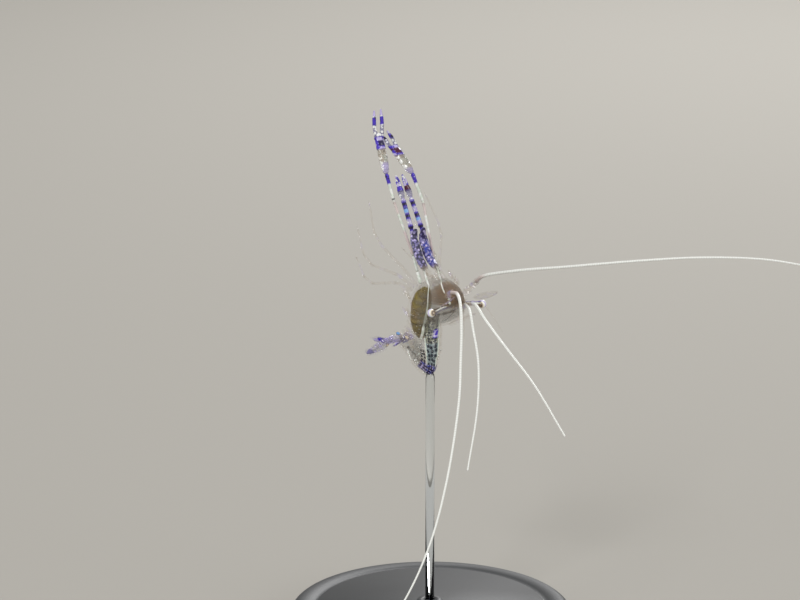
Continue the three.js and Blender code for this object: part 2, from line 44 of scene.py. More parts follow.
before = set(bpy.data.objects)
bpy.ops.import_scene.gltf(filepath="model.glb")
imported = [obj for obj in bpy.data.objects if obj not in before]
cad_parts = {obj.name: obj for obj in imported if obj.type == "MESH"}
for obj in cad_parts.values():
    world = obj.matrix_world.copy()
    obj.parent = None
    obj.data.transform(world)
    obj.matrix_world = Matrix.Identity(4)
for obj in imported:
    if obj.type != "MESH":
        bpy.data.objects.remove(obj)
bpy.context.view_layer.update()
rod_low, rod_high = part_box("stand_rod")
base_low, base_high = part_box("stand_base")

MM = 0.001
LEFT = Vector((0, 1, 0))
UP = Vector((0, 0, 1))
FORWARD = Vector((1, 0, 0))
SIDES = {"left": 1, "right": -1}

# The animal is built in its own axes, in millimetres: X forward, Y to its left, Z to its back,
# with zero between the eyes. POSE then lays it in the frame.
HEADING = math.radians(-60.3)
NOSE_UP = math.radians(24.7)
ROLL = math.radians(-178.8)
EYES_AT = Vector((2.4, -5.0, 34.5)) * MM
POSE = (
    Matrix.Translation(EYES_AT)
    @ Matrix.Rotation(HEADING, 4, "Z")
    @ Matrix.Rotation(-NOSE_UP, 4, "Y")
    @ Matrix.Rotation(ROLL, 4, "X")
    @ Matrix.Scale(MM, 4)
)


# ------------------------------------------------------------------ sizes and colours


def linear(code):
    """Turns an sRGB hex colour into the linear values that colour sockets take."""
    shares = [int(code[i : i + 2], 16) / 255 for i in (1, 3, 5)]
    return tuple(c / 12.92 if c <= 0.04045 else ((c + 0.055) / 1.055) ** 2.4 for c in shares)


def colour(name, code, description):
    """A colour setting with an sRGB hex default."""
    return FloatVectorProperty(
        name=name, description=description, subtype="COLOR", min=0, max=1, default=linear(code)
    )


def size(name, millimetres, description):
    """A length setting with a default in millimetres."""
    return FloatProperty(
        name=name, description=description, unit="LENGTH", min=0, default=millimetres * MM
    )


class ShrimpSizes(bpy.types.PropertyGroup):
    feeler_root: size("Feeler at its root", 0.36, "Thickness of a long feeler where it starts")
    feeler_tip: size("Feeler at its tip", 0.15, "Thickness of a long feeler at its tip")
    shell: size("Shell", 0.06, "Thickness of the shell plates")
    eye: size("Eye", 0.81, "Width of each eye")
    spot: size("Spot", 0.36, "Distance from one dark spot on the back to the next")
    band: size("Band", 1.24, "Length of one set of bands on the small pincer legs")
    bristle: size("Bristle", 0.5, "Length of the bristles on fins, scales and mouth legs")
    around: IntProperty(name="Sides", description="Sides of a limb", default=14, min=6)


class ShrimpColours(bpy.types.PropertyGroup):
    shell: colour("Clear shell", "#B09C80", "Tint of the clear shell")
    flesh: colour("Tan flesh", "#92785A", "Tan stomach and gland edges")
    organ: colour("Gland", "#958636", "Yellow-olive gland behind the head")
    organ_brown: colour("Brown gland", "#857040", "Browner clouds in the gland")
    white: colour("White", "#F7F9F6", "White lines and feelers")
    green_white: colour("Greenish white", "#DCE6DA", "White with a green cast, on the lines")
    cream: colour("Cream", "#EAD9BE", "Cream core of the eyes and of the spots on the face")
    lilac: colour("Lilac", "#C9BEEF", "Lilac white between the violet bands")
    sky: colour("Light blue", "#86B6F2", "Bright blue patches")
    violet: colour("Violet", "#4A34C0", "Violet bands and spots")
    night: colour("Dark violet", "#24194C", "Darkest violet, nearly black")
    slate: colour("Slate", "#171C2C", "Blue-black spots of the back")
    maroon: colour("Maroon", "#4E1434", "Red-brown spot inside the claws")
    net: colour("Net", "#9A9C88", "Grey-green net between the dark spots of the back")
    net_blue: colour("Bluish net", "#7F9298", "Net between the spots further down the back")
    blue: colour("Blue", "#3A46A8", "Blue lower half of the right mouth leg")
    dusk: colour("Dusky violet", "#3B3168", "Ground of the mouth legs")
    dusk_grey: colour("Dusky grey", "#4C4A68", "Greyer ground of the left mouth leg")
    haze: colour("Hazy lilac", "#8E88BC", "Greyish lilac dots and blotches")
    rose: colour("Rose white", "#E6D6D4", "Pinkish white at the roots of feelers and arms")
    red_tan: colour("Red tan", "#97714C", "Redder clouds in the stomach")
    muscle: colour("Clear muscle", "#A79E93", "Tint of the clear muscle of the tail")
    fin: colour("Clear fin", "#8F8C9C", "Tint of the clear tail blades")
    pupil: colour("Eye core", "#85786B", "Brownish core of the eyes")
    brown: colour("Brown", "#5A3B26", "Brown line along the eyestalks")


class ShrimpStage(bpy.types.PropertyGroup):
    base: colour("Base", "#2B2D30", "Plastic of the stand's base")
    floor: colour("Floor", "#A9A6A0", "Studio floor")
    key: FloatProperty(name="Key light", description="Power of the main lamp", default=1.9)
    fill: FloatProperty(name="Fill light", description="Power of the fill lamp", default=0.6)
    rim: FloatProperty(name="Rim light", description="Power of the lamp behind", default=1.2)
    sky: FloatProperty(name="Room light", description="Strength of the room's light", default=0.55)


# ------------------------------------------------------------------ curves and rings


def lerp(a, b, share):
    return a + (b - a) * share


def smoothstep(share):
    share = min(max(share, 0), 1)
    return share * share * (3 - 2 * share)


def on_curve(points, share):
    """The point a share of the way along a smooth curve through points: a centripetal
    Catmull-Rom curve, which doesn't loop or overshoot where the points crowd together."""
    place = (len(points) - 1) * min(max(share, 0), 1)
    i = min(int(place), len(points) - 2)
    weight = place - i
    p1, p2 = points[i], points[i + 1]
    p0 = points[i - 1] if i > 0 else p1 * 2 - p2
    p3 = points[i + 2] if i + 2 < len(points) else p2 * 2 - p1
    d0, d1, d2 = [max((b - a).length, 1e-6) ** 0.5 for a, b in ((p0, p1), (p1, p2), (p2, p3))]
    m1 = ((p1 - p0) / d0 - (p2 - p0) / (d0 + d1) + (p2 - p1) / d1) * d1
    m2 = ((p2 - p1) / d1 - (p3 - p1) / (d1 + d2) + (p3 - p2) / d2) * d1
    w2, w3 = weight**2, weight**3
    return (
        p1 * (2 * w3 - 3 * w2 + 1)
        + m1 * (w3 - 2 * w2 + weight)
        + p2 * (3 * w2 - 2 * w3)
        + m2 * (w3 - w2)
    )


def number_at(stops, share):
    """The number a share of the way along a smooth run of numbers."""
    return on_curve([Vector((stop, 0, 0)) for stop in stops], share).x


def sampled(stops, count):
    """Evenly spread points along a smooth curve, or numbers where its stops are numbers."""
    read_off = on_curve if isinstance(stops[0], Vector) else number_at
    return [read_off(stops, i / count) for i in range(count + 1)]


def bulged(value, square):
    """A cosine or sine moved towards the corners of its ellipse where square is under 1."""
    return math.copysign(abs(value) ** square, value)


def vectors(*points):
    return [Vector(p) for p in points]


def to_side(points, side):
    """The same points for the animal's left (1) or right (-1)."""
    return [Vector((p.x, p.y * side, p.z)) for p in points]


# A ring is an ellipse: its centre and its two half axes, and if it is not a plain ellipse, how
# square it is (under 1 bulges to its corners) and how much wider its high side is.


def rings_along(points, radii, flat, wide):
    """Rings square to a run of points, their wide axis as near to wide as it can be."""
    rings = []
    for i, centre in enumerate(points):
        along = (points[min(i + 1, len(points) - 1)] - points[max(i - 1, 0)]).normalized()
        wide = (wide - along * wide.dot(along)).normalized()
        high = along.cross(wide)
        rings.append((centre, wide * radii[i], high * radii[i] * flat))
    return rings


DOME_TURNS = [math.radians(a) for a in (28, 52, 72, 84)]


def domed(rings, blunt):
    """Closes both ends of a run of rings with a dome of smaller ones."""

    def dome(end, inner):
        centre, wide, high, *form = end
        out = (centre - inner[0]).normalized() * min(wide.length, high.length) * blunt
        return [
            (centre + out * math.sin(a), wide * math.cos(a), high * math.cos(a), *form)
            for a in DOME_TURNS
        ]

    return dome(rings[0], rings[1])[::-1] + rings + dome(rings[-1], rings[-2])


# ------------------------------------------------------------------ meshes

LAYERS = ("turn", "along", "side", "up")  # carried by each vertex, for the patterns


def new_mesh():
    bm = bmesh.new()
    for name in LAYERS:
        bm.verts.layers.float.new(name)
    return bm


def layers_of(bm):
    return [bm.verts.layers.float[name] for name in LAYERS]


def skin(bm, rings, around, start=0.0):
    """A closed tube: a disc extruded from ring to ring. Each vertex keeps its turn round the
    ring, its distance along, and how far it lies to the side and towards the back."""
    turn, along, side, up = layers_of(bm)
    disc = bmesh.ops.create_circle(bm, cap_ends=True, segments=around, radius=1.0)["verts"]
    for v in disc:
        v[turn] = math.atan2(v.co.y, v.co.x)
    face = disc[0].link_faces[0]
    travelled = start
    for i, (centre, wide, high, *form) in enumerate(rings):
        square, egg = form or (1.0, 0.0)
        if i > 0:
            made = bmesh.ops.extrude_face_region(bm, geom=[face])["geom"]
            disc = [g for g in made if isinstance(g, bmesh.types.BMVert)]
            face = next(g for g in made if isinstance(g, bmesh.types.BMFace))
            travelled += (centre - rings[i - 1][0]).length
        for v in disc:
            c, s = bulged(math.cos(v[turn]), square), bulged(math.sin(v[turn]), square)
            v.co = centre + wide * c * (1 + egg * s) + high * s
            v[along] = travelled
            v[side] = wide.length * c
            v[up] = s


def tube(bm, points, radii, sides, flat=1.0, blunt=1.0, wide_along=LEFT, start=0.0):
    """A tube through points, domed at both ends."""
    skin(bm, domed(rings_along(points, radii, flat, wide_along), blunt), sides, start)


def laid_sheet(bm, across, lengthwise, place):
    """A grid laid over a surface. place takes the shares across and along, and gives the point
    with its distance along, distance to the side and height towards the back."""
    _, along, side, up = layers_of(bm)
    grid = bmesh.ops.create_grid(bm, x_segments=across, y_segments=lengthwise, size=0.5)["verts"]
    for v in grid:
        v.co, v[along], v[side], v[up] = place(v.co.x + 0.5, v.co.y + 0.5)


def spike(bm, root, tip, radius, sides=5):
    """A thin cone, for spines, teeth and bristles."""
    _, along, side, up = layers_of(bm)
    axis = tip - root
    turned = axis.to_track_quat("Z", "Y").to_matrix().to_4x4()
    made = bmesh.ops.create_cone(
        bm,
        cap_ends=True,
        segments=sides,
        radius1=radius,
        radius2=radius * 0.08,
        depth=axis.length,
        matrix=Matrix.Translation((root + tip) / 2) @ turned,
    )
    for v in made["verts"]:
        v[along], v[side], v[up] = 0.0, v.co.y, 0.0


def finished(name, bm, material, slot=None, nodes=None, wall=0.0, pose=POSE):
    """Lays a mesh in the frame as one finished piece that rides on the body. A piece with a slot
    stands for the nodes given, or else for the node of its own name, and a sheet gets a wall."""
    bmesh.ops.transform(bm, matrix=pose, verts=bm.verts[:])
    bmesh.ops.recalc_face_normals(bm, faces=bm.faces[:])
    mesh = bpy.data.meshes.new(name)
    bm.to_mesh(mesh)
    bm.free()
    mesh.polygons.foreach_set("use_smooth", [True] * len(mesh.polygons))
    mesh.materials.append(material)
    piece = bpy.data.objects.new(name, mesh)
    bpy.context.scene.collection.objects.link(piece)
    if wall:
        round_off = piece.modifiers.new("Rounding", "SUBSURF")
        round_off.levels = round_off.render_levels = 1
        thick = piece.modifiers.new("Wall", "SOLIDIFY")
        thick.thickness = wall
        thick.offset = 0
    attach(piece, "root")
    if slot:
        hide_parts(*(nodes or [name]))
    return piece


# ------------------------------------------------------------------ limbs, blades, feelers


def limb(bm, joints, radii, around, flat=1.0, swell=1.12, pinch=0.78):
    """A jointed limb: each length is slim in the middle, swells towards its ends and pinches at
    the joint. Gives back how far along each joint lies."""
    points, thick, marks = [], [], [0.0]
    for a, b, thick_a, thick_b in zip(joints, joints[1:], radii, radii[1:]):
        span = (b - a).length
        near = [min(thick_a * k / span, 0.2 + 0.1 * k) for k in (0.3, 1.0, 2.0)]
        far = [1 - min(thick_b * k / span, 0.2 + 0.1 * k) for k in (2.0, 1.0, 0.3)]
        forms = (pinch, swell, 1, 0.96, 1, swell, pinch)
        for share, form in zip([*near, 0.5, *far], forms):
            points.append(a.lerp(b, share))
            thick.append(lerp(thick_a, thick_b, share) * form)
        marks.append(marks[-1] + span)
    tube(bm, points, thick, around, flat)
    return marks


LEAF_ROOT = 0.42  # half width of a blade at its root, as a share of its greatest
LEAF_WIDEST = 0.4  # how far along a blade is widest


def leaf(share):
    """Half width of a leaf-shaped blade as a share of its greatest."""
    if share < LEAF_WIDEST:
        return lerp(LEAF_ROOT, 1.0, math.sin(share / LEAF_WIDEST * math.pi / 2))
    rest = (share - LEAF_WIDEST) / (1 - LEAF_WIDEST)
    return max(math.cos(rest * math.pi / 2) ** 0.6, 0.35 * (1 - rest) + 0.02)


# Half width and half thickness of each kind of blade.
PADDLE = (0.24, 0.05)
INNER_BLADE = (0.4, 0.07)
OUTER_BLADE = (0.52, 0.08)
ANTENNAL_SCALE = (0.6, 0.05)
BOTH_EDGES = (1, -1)
BRISTLE_LEAN = 0.7  # towards the tip, for each length outwards


def blade(bm, root, tip, halves, wide_along, bend=UP * 0, steps=22, around=14):
    """A thin leaf-shaped fin from root to tip, bulging by bend in its middle."""
    half_width, half_thickness = halves
    axis = (tip - root).normalized()
    shares = [i / steps for i in range(steps + 1)]
    points = [root.lerp(tip, s) + bend * math.sin(s * math.pi) for s in shares]
    wide = (wide_along - axis * wide_along.dot(axis)).normalized()
    high = axis.cross(wide)
    rings = [
        (p, wide * half_width * leaf(s), high * half_thickness * (0.4 + 0.6 * leaf(s)), 0.8, 0.0)
        for p, s in zip(points, shares)
    ]
    skin(bm, rings, around)
    return rings


def fringe(bm, rings, edges, length, first, last, count, radius=0.014):
    """Bristles along a blade's edges, 1 and -1, from first to last of it, leaning to its tip."""
    for number in range(count * len(edges)):
        i = number % count
        place = lerp(first, last, i / (count - 1)) * (len(rings) - 1)
        k = min(int(place), len(rings) - 2)
        centre = rings[k][0].lerp(rings[k + 1][0], place - k)
        wide = rings[k][1].lerp(rings[k + 1][1], place - k) * edges[number // count]
        ahead = (rings[k + 1][0] - rings[k][0]).normalized()
        root = centre + wide * 0.96
        out = (wide.normalized() + ahead * BRISTLE_LEAN).normalized()
        spike(bm, root, root + out * length * (0.8 + 0.2 * math.sin(i * 2.4)), radius, 3)


def feeler(bm, curve, root_radius, tip_radius, step=0.4):
    """A long tapering feeler along a smooth curve, with a ring at about each step."""
    count = int(sum((b - a).length for a, b in zip(curve, curve[1:])) / step)
    radii = [lerp(root_radius, tip_radius, (i / count) ** 0.8) for i in range(count + 1)]
    tube(bm, sampled(curve, count), radii, 10)


# ------------------------------------------------------------------ shader patterns


def node(tree, kind, inputs=(), out=0, **settings):
    """Adds a node with its settings and its values or links, and gives back one output."""
    made = tree.nodes.new("ShaderNode" + kind)
    for name, value in settings.items():
        setattr(made, name, value)
    for socket, value in inputs.items() if isinstance(inputs, dict) else enumerate(inputs):
        if isinstance(value, bpy.types.NodeSocket):
            tree.links.new(value, made.inputs[socket])
        elif made.inputs[socket].type == "RGBA":
            made.inputs[socket].default_value = (*value, 1)
        else:
            made.inputs[socket].default_value = value
    return made.outputs[out]


def surface(name, **constants):
    """Turns the function under it into one that gives a material round one Principled shader.
    That function gives the sockets that patterns drive, and the rest are set on the shader. A
    material is made once, and given again under its name or the one that the call asks for."""

    def painted_by(paint):
        def material(*choices, name=name):
            if name in bpy.data.materials:
                return bpy.data.materials[name]
            made = bpy.data.materials.new(name)
            made.use_nodes = True
            tree = made.node_tree
            shader = tree.nodes["Principled BSDF"]
            for socket, value in constants.items():
                shader.inputs[socket.replace("_", " ")].default_value = value
            for socket, source in paint(tree, *choices).items():
                tree.links.new(source, shader.inputs[socket])
            return made

        return material

    return painted_by


def read(tree, *wanted):
    """What patterns follow, by name. place is where a point lies in the animal's own axes, in
    millimetres, and x, y and z are its parts. Other names are what each vertex carries."""
    found = {
        name: node(tree, "Attribute", out="Fac", attribute_name=name)
        for name in wanted if name in LAYERS
    }
    if len(found) < len(wanted):
        lying = {
            "Vector": node(tree, "TexCoord", out="Object"),
            "Location": POSE.translation,
            "Rotation": POSE.to_euler(),
            "Scale": (MM, MM, MM),
        }
        found["place"] = node(tree, "Mapping", lying, vector_type="TEXTURE")
    if set(wanted) & set("xyz"):
        found |= zip("xyz", node(tree, "SeparateXYZ", (found["place"],)).node.outputs)
    return [found[name] for name in wanted]


def band(value, low, high, soft, of=1.0):
    """A mask of strength of where a value lies between two limits, either of them None. A socket
    gives the tree that it is in as its id_data, here and in the patterns below."""
    for limit, soft in ((low, soft), (high, -soft)):
        if limit is not None:
            edge = {"Value": value, "From Min": limit - soft, "From Max": limit + soft, "To Max": of}
            of = node(value.id_data, "MapRange", edge, interpolation_type="SMOOTHSTEP")
    return of


def dots(place, spacing, radius, jitter=1.0, of=1.0, flat=False):
    """A mask of round dots of one radius, about a spacing apart, all in millimetres."""
    cells = {"Vector": place, "Scale": 1 / spacing, "Randomness": jitter}
    near = node(place.id_data, "TexVoronoi", cells, voronoi_dimensions="2D" if flat else "3D")
    return band(near, None, radius / spacing, 0.25 * radius / spacing, of)


def round_point(place, point, radius, soft):
    """A mask of one round spot about a point."""
    away = node(place.id_data, "VectorMath", (place, point), out=1, operation="DISTANCE")
    return band(away, None, radius, soft)


def clouds(place, scale, detail, share, soft):
    """A mask of soft clouds, where a noise passes a share."""
    cloudy = {"Vector": place, "Scale": scale, "Detail": detail}
    return band(node(place.id_data, "TexNoise", cloudy), share, None, soft)


def coats(colour, cover, *coats_over):
    """Colour and cover of a surface: a ground, then coats of (mask, colour, cover) over it. A
    ground with no cover is opaque, and so are its coats."""
    for mask, laid, *laid_cover in coats_over:
        tree = mask.id_data
        colour = node(tree, "Mix", {0: mask, 6: colour, 7: laid}, out=2, data_type="RGBA")
        if laid_cover:
            cover = node(tree, "Mix", {0: mask, 2: cover, 3: laid_cover[0]}, data_type="FLOAT")
    return {"Base Color": colour} | ({"Alpha": cover} if cover else {})


# ------------------------------------------------------------------ materials


@surface("clear_chitin_cuticle", Roughness=0.1, IOR=1.5, Coat_Weight=0.8)
def clear_cuticle(tree, tone):
    """Moulted chitin of the head shield, clear as film and faintly brown: glossy, with pin-point
    white dots and a brown line across the face."""
    place, x, z = read(tree, "place", "x", "z")
    brow = node(tree, "Math", (x, 0.2, 0.62), operation="MULTIPLY_ADD")
    brow = node(tree, "Math", (brow, z), operation="SUBTRACT")
    face = band(x, -0.9, None, 0.15, 0.5)
    painted = coats(
        tone.shell, 0.06,
        (clouds(place, 0.9, 3.0, 0.5, 0.2), tone.flesh, 0.1),
        (band(brow, 1.17, 1.27, 0.05, face), tone.flesh, 0.6),
        (dots(place, 0.6, 0.03), tone.white, 0.92),
    )
    grain = node(tree, "TexNoise", {"Vector": place, "Scale": 9.0, "Detail": 2.0})
    relief = {"Height": grain, "Distance": 0.02 * MM, "Strength": 0.5}
    return painted | {"Normal": node(tree, "Bump", relief)}


LEFT_LINE = (0.76, 0.88)  # between which distances from the midline each white line lies
RIGHT_LINE = (-0.66, -0.54)
NETTED_BACK = (-0.6, 0.8)


@surface("spotted_chitin_plate", Roughness=0.12, IOR=1.5, Coat_Weight=0.7)
def spotted_cuticle(tree, tone, sizes):
    """Chitin plates of the back: clear flanks, and between two white lines a thin grey-green net
    round blue-black spots. A violet patch lies on the right and the hump has a violet cap."""
    along, side = read(tree, "along", "side")
    length = node(tree, "Math", (along, STATION_LENGTH), operation="MULTIPLY")
    flat = node(tree, "CombineXYZ", (length, side))
    spacing = sizes.spot / MM
    back = band(side, *NETTED_BACK, 0.04, band(along, None, 3.6, 0.1))
    cap = band(along, 2.66, 3.45, 0.08, band(side, -1.0, 1.65, 0.1))
    patch = band(along, 0.3, 0.95, 0.1, band(side, -0.5, -0.02, 0.08))
    high = band(along, None, 1.3, 0.05, back)
    low = band(along, 1.3, None, 0.05, back)
    flank = band(side, 0.95, 1.75, 0.12, band(along, 1.75, 2.8, 0.15))
    left = band(side, *LEFT_LINE, 0.035, band(along, 0.95, 2.75, 0.1))
    right = band(side, *RIGHT_LINE, 0.035, band(along, None, 2.75, 0.1))
    return coats(
        tone.shell, 0.05,
        (back, tone.net, 0.4),
        (low, tone.net_blue, 0.5),
        (patch, tone.lilac, 0.75),
        (cap, tone.lilac, 0.8),
        (dots(flat, spacing, spacing * 0.38, 0.4, flank, True), tone.slate, 0.8),
        (dots(flat, spacing, spacing * 0.36, 0.5, high, True), tone.slate, 0.9),
        (dots(flat, spacing * 1.25, spacing * 0.46, 0.5, low, True), tone.slate, 0.96),
        (dots(flat, spacing, spacing * 0.46, 0.4, patch, True), tone.violet, 0.95),
        (dots(flat, spacing, spacing * 0.5, 0.4, cap, True), tone.night, 0.97),
        (dots(flat, spacing * 1.7, spacing * 0.4, 1.0, cap, True), tone.blue, 0.8),
        (left, tone.green_white, 1.0),
        (right, tone.green_white, 1.0),
        (dots(flat, 0.6, 0.03, flat=True), tone.white, 0.9),
    )


@surface("clear_chitin_fin", Roughness=0.12, IOR=1.5, Coat_Weight=0.6)
def fin_cuticle(tree, tone):
    """Thin chitin of the tail fan: clear grey blades with violet and lilac towards their tips,
    and on the left one bright violet patch, lilac and cream spots."""
    place, x, y = read(tree, "place", "x", "y")
    cloud = node(tree, "TexNoise", {"Vector": place, "Scale": 1.4, "Detail": 2.0})
    tips = band(x, None, -14.25, 0.2, band(y, None, -0.3, 0.1))
    rim = dots(place, 0.42, 0.13)
    return coats(
        tone.fin, 0.16,
        (band(cloud, 0.5, None, 0.1), tone.lilac, 0.3),
        (tips, tone.violet, 0.9),
        (band(cloud, 0.52, None, 0.05, tips), tone.lilac, 0.95),
        (dots(place, 0.5, 0.14, of=tips), tone.night, 0.95),
        (rim, tone.lilac, 0.5),
        (round_point(place, (-14.95, 2.35, 1.2), 0.45, 0.1), tone.haze, 0.8),
        (round_point(place, (-15.05, 1.24, 0.03), 0.34, 0.08), tone.lilac, 0.9),
        (round_point(place, (-13.35, 1.0, 0.45), 0.3, 0.06), tone.lilac, 0.9),
        (round_point(place, (-14.1, 1.2, 0.22), 0.48, 0.05), tone.violet, 0.97),
        (round_point(place, (-13.2, 1.05, 0.95), 0.22, 0.05), tone.cream, 0.9),
        (round_point(place, (-12.35, -0.75, 0.72), 0.24, 0.05), tone.cream, 0.9),
    )


@surface("netted_chitin_limb", Roughness=0.35, IOR=1.5, Coat_Weight=0.15)
def netted_limb(tree, tone):
    """Chitin of the mouth legs: clear at the root, then greyish violet with dark spots and many
    small lilac dots, bluer on the lower half of the right leg."""
    place, y, z, along = read(tree, "place", "y", "z", "along")
    drawn = band(along, 2.1, None, 0.5)
    blue = band(z, -7.2, None, 0.4, band(y, None, 0.42, 0.1, drawn))
    grey = band(y, 0.6, None, 0.1, drawn)
    return coats(
        tone.shell, 0.05,
        (drawn, tone.dusk, 0.78),
        (grey, tone.dusk_grey, 0.7),
        (blue, tone.blue, 0.88),
        (dots(place, 0.4, 0.16, 0.8, drawn), tone.night, 0.9),
        (dots(place, 0.27, 0.125, 1.0, drawn), tone.haze, 0.9),
        (dots(place, 0.4, 0.12, 1.0, drawn), tone.lilac, 0.92),
    )


@surface("banded_chitin_limb", Roughness=0.2, IOR=1.5, Coat_Weight=0.5)
def banded_limb(tree, tone, sizes):
    """Chitin of the small pincer legs: clear at the root, then dark violet rings with soft
    violet edges between pale lilac ones with white dots, one on each leg light blue."""
    place, y, along = read(tree, "place", "y", "along")
    drawn = band(along, 1.8, None, 0.5)
    # counted in bands from the wrist, back along the leg
    count = node(tree, "Math", (SMALL_ARM_LENGTH, along), operation="SUBTRACT")
    count = node(tree, "Math", (count, sizes.band / MM), operation="DIVIDE")
    turn = node(tree, "Math", (count, 1.0), operation="FLOORED_MODULO")
    left, right = band(y, 0, None, 0.05, drawn), band(y, None, 0, 0.05, drawn)
    return coats(
        tone.shell, 0.06,
        (drawn, tone.lilac, 0.72),
        (dots(place, 0.26, 0.09, 1.0, drawn), tone.white, 0.92),
        (band(turn, 0.12, 0.68, 0.12, drawn), tone.violet, 0.85),
        (band(turn, 0.26, 0.52, 0.08, drawn), tone.night, 0.95),
        (band(count, 0.64, 0.82, 0.06, left), tone.blue, 0.95),
        (band(count, 0.82, 1.1, 0.05, left), tone.sky, 0.95),
        (band(count, 1.62, 1.86, 0.06, right), tone.sky, 0.9),
    )


@surface("banded_chitin_hand", Roughness=0.2, IOR=1.5, Coat_Weight=0.5)
def small_hand(tree, tone):
    """Chitin of the small hands: clear with white dots at the wrist, a dark violet band across
    the middle, maroon on the right, and lilac fingers."""
    place, y, along = read(tree, "place", "y", "along")
    cloud = node(tree, "TexNoise", {"Vector": place, "Scale": 1.8, "Detail": 1.0})
    dark = band(along, 0.88, 1.42, 0.08)
    fingers = band(along, 1.42, None, 0.08)
    return coats(
        tone.haze, 0.38,
        (fingers, tone.lilac, 0.85),
        (band(cloud, 0.5, None, 0.06, fingers), tone.violet, 0.8),
        (dots(place, 0.3, 0.11), tone.white, 0.9),
        (dark, tone.night, 0.96),
        (band(cloud, 0.46, None, 0.05, dark), tone.violet, 0.95),
        (band(y, None, 0, 0.1, dark), tone.maroon, 0.95),
    )


@surface("lined_chitin_arm", Roughness=0.22, IOR=1.5, Coat_Weight=0.4)
def lined_arm(tree, tone, marks):
    """Chitin of the long arms: white with a faint green cast, dim and clearer before and after
    the bright length behind the last bend, with a violet wrist."""
    place, along = read(tree, "place", "along")
    elbow, wrist = marks[3], marks[4]
    cloud = node(tree, "TexNoise", {"Vector": place, "Scale": 2.4, "Detail": 2.0})
    violet = band(along, wrist - 0.95, None, 0.12)
    return coats(
        tone.white, 0.96,
        (band(cloud, 0.5, None, 0.1), tone.green_white, 0.96),
        (band(along, marks[2] + 0.1, elbow - 3.1, 0.25), tone.rose, 0.9),
        (band(along, elbow - 1.3, elbow - 0.05, 0.15), tone.rose, 0.45),
        (band(along, marks[1] - 0.06, marks[1] + 0.06, 0.05), tone.net, 0.6),
        (band(along, marks[2] - 0.06, marks[2] + 0.06, 0.05), tone.net, 0.6),
        (violet, tone.violet, 0.96),
        (band(cloud, 0.56, None, 0.05, violet), tone.night, 0.96),
        (dots(place, 0.3, 0.06, 1.0, violet), tone.lilac, 0.96),
    )


@surface("speckled_chitin_claw", Roughness=0.18, IOR=1.5, Coat_Weight=0.5)
def claw_cuticle(tree, tone, knuckle, bands, maroon):
    """Chitin of the long hands: a smoky clear palm with white beads down both edges, violet at
    the knuckle, and clear fingers with white beads, a violet ring and a lilac tip. bands says
    how far past the knuckle the knuckle's violet and the ring start and end."""
    place, z, side = read(tree, "place", "z", "side")
    off = node(tree, "Math", (side,), operation="ABSOLUTE")
    down = node(tree, "Math", (knuckle, z), operation="SUBTRACT")
    cloud = node(tree, "TexNoise", {"Vector": place, "Scale": 1.7, "Detail": 1.0})
    palm_low, palm_high, ring_low, ring_high = bands
    edges = band(off, 0.27, None, 0.05, band(down, None, palm_low, 0.1))
    fingers = band(down, palm_high, None, 0.1)
    joint = band(down, palm_low, palm_high, 0.1)
    ring = band(down, ring_low, ring_high, 0.08)
    middle = lerp(palm_low, palm_high, 0.45)
    core = band(down, middle - 0.28, middle + 0.28, 0.1, band(off, None, 0.3, 0.06))
    return coats(
        tone.net, 0.24,
        (band(cloud, 0.5, None, 0.08), tone.shell, 0.3),
        (fingers, tone.haze, 0.42),
        (band(down, None, palm_low - 1.35, 0.15), tone.lilac, 0.5),
        (dots(place, 0.45, 0.07), tone.white, 0.85),
        (dots(place, 0.3, 0.15, 0.8, edges), tone.white, 0.97),
        (dots(place, 0.32, 0.15, 0.8, fingers), tone.white, 0.97),
        (joint, tone.violet, 0.95),
        (band(cloud, 0.55, None, 0.05, joint), tone.lilac, 0.95),
        (core, tone.maroon if maroon else tone.night, 0.96),
        (ring, tone.violet, 0.96),
        (band(cloud, 0.56, None, 0.05, ring), tone.night, 0.96),
        (band(down, ring_high + 0.1, None, 0.06), tone.lilac, 0.9),
    )


@surface("white_chitin_feeler", Roughness=0.35, IOR=1.5)
def feeler_chitin(tree, tone, blush):
    """Opaque white chitin of the feelers, ringed like a fine whip and faintly pink at the root of
    the long ones. The rings are drawn 0.16 mm apart, about twice the real distance, to show."""
    (along,) = read(tree, "along")
    wave = node(tree, "Math", (along, 2 * math.pi / 0.16), operation="MULTIPLY")
    wave = node(tree, "Math", (wave,), operation="SINE")
    relief = {"Height": wave, "Distance": 0.01 * MM, "Strength": 0.4}
    return {"Normal": node(tree, "Bump", relief)} | coats(
        tone.white, None,
        (band(along, None, blush, 0.4), tone.rose),
        (band(wave, None, -0.75, 0.2, 0.6), tone.net),
    )


@surface("white_pigment_and_highlight_thread", Roughness=0.4, IOR=1.45)
def pigment(tree, tone):
    """A white thread under the clear shell, soft-edged and faintly uneven: pigment, and behind the
    hump on the left a painted highlight along the rear edge.
    """
    (place,) = read(tree, "place")
    cloud = clouds(place, 3.0, 2.0, 0.48, 0.1)
    return coats(tone.white, 0.97, (cloud, tone.green_white, 0.92))


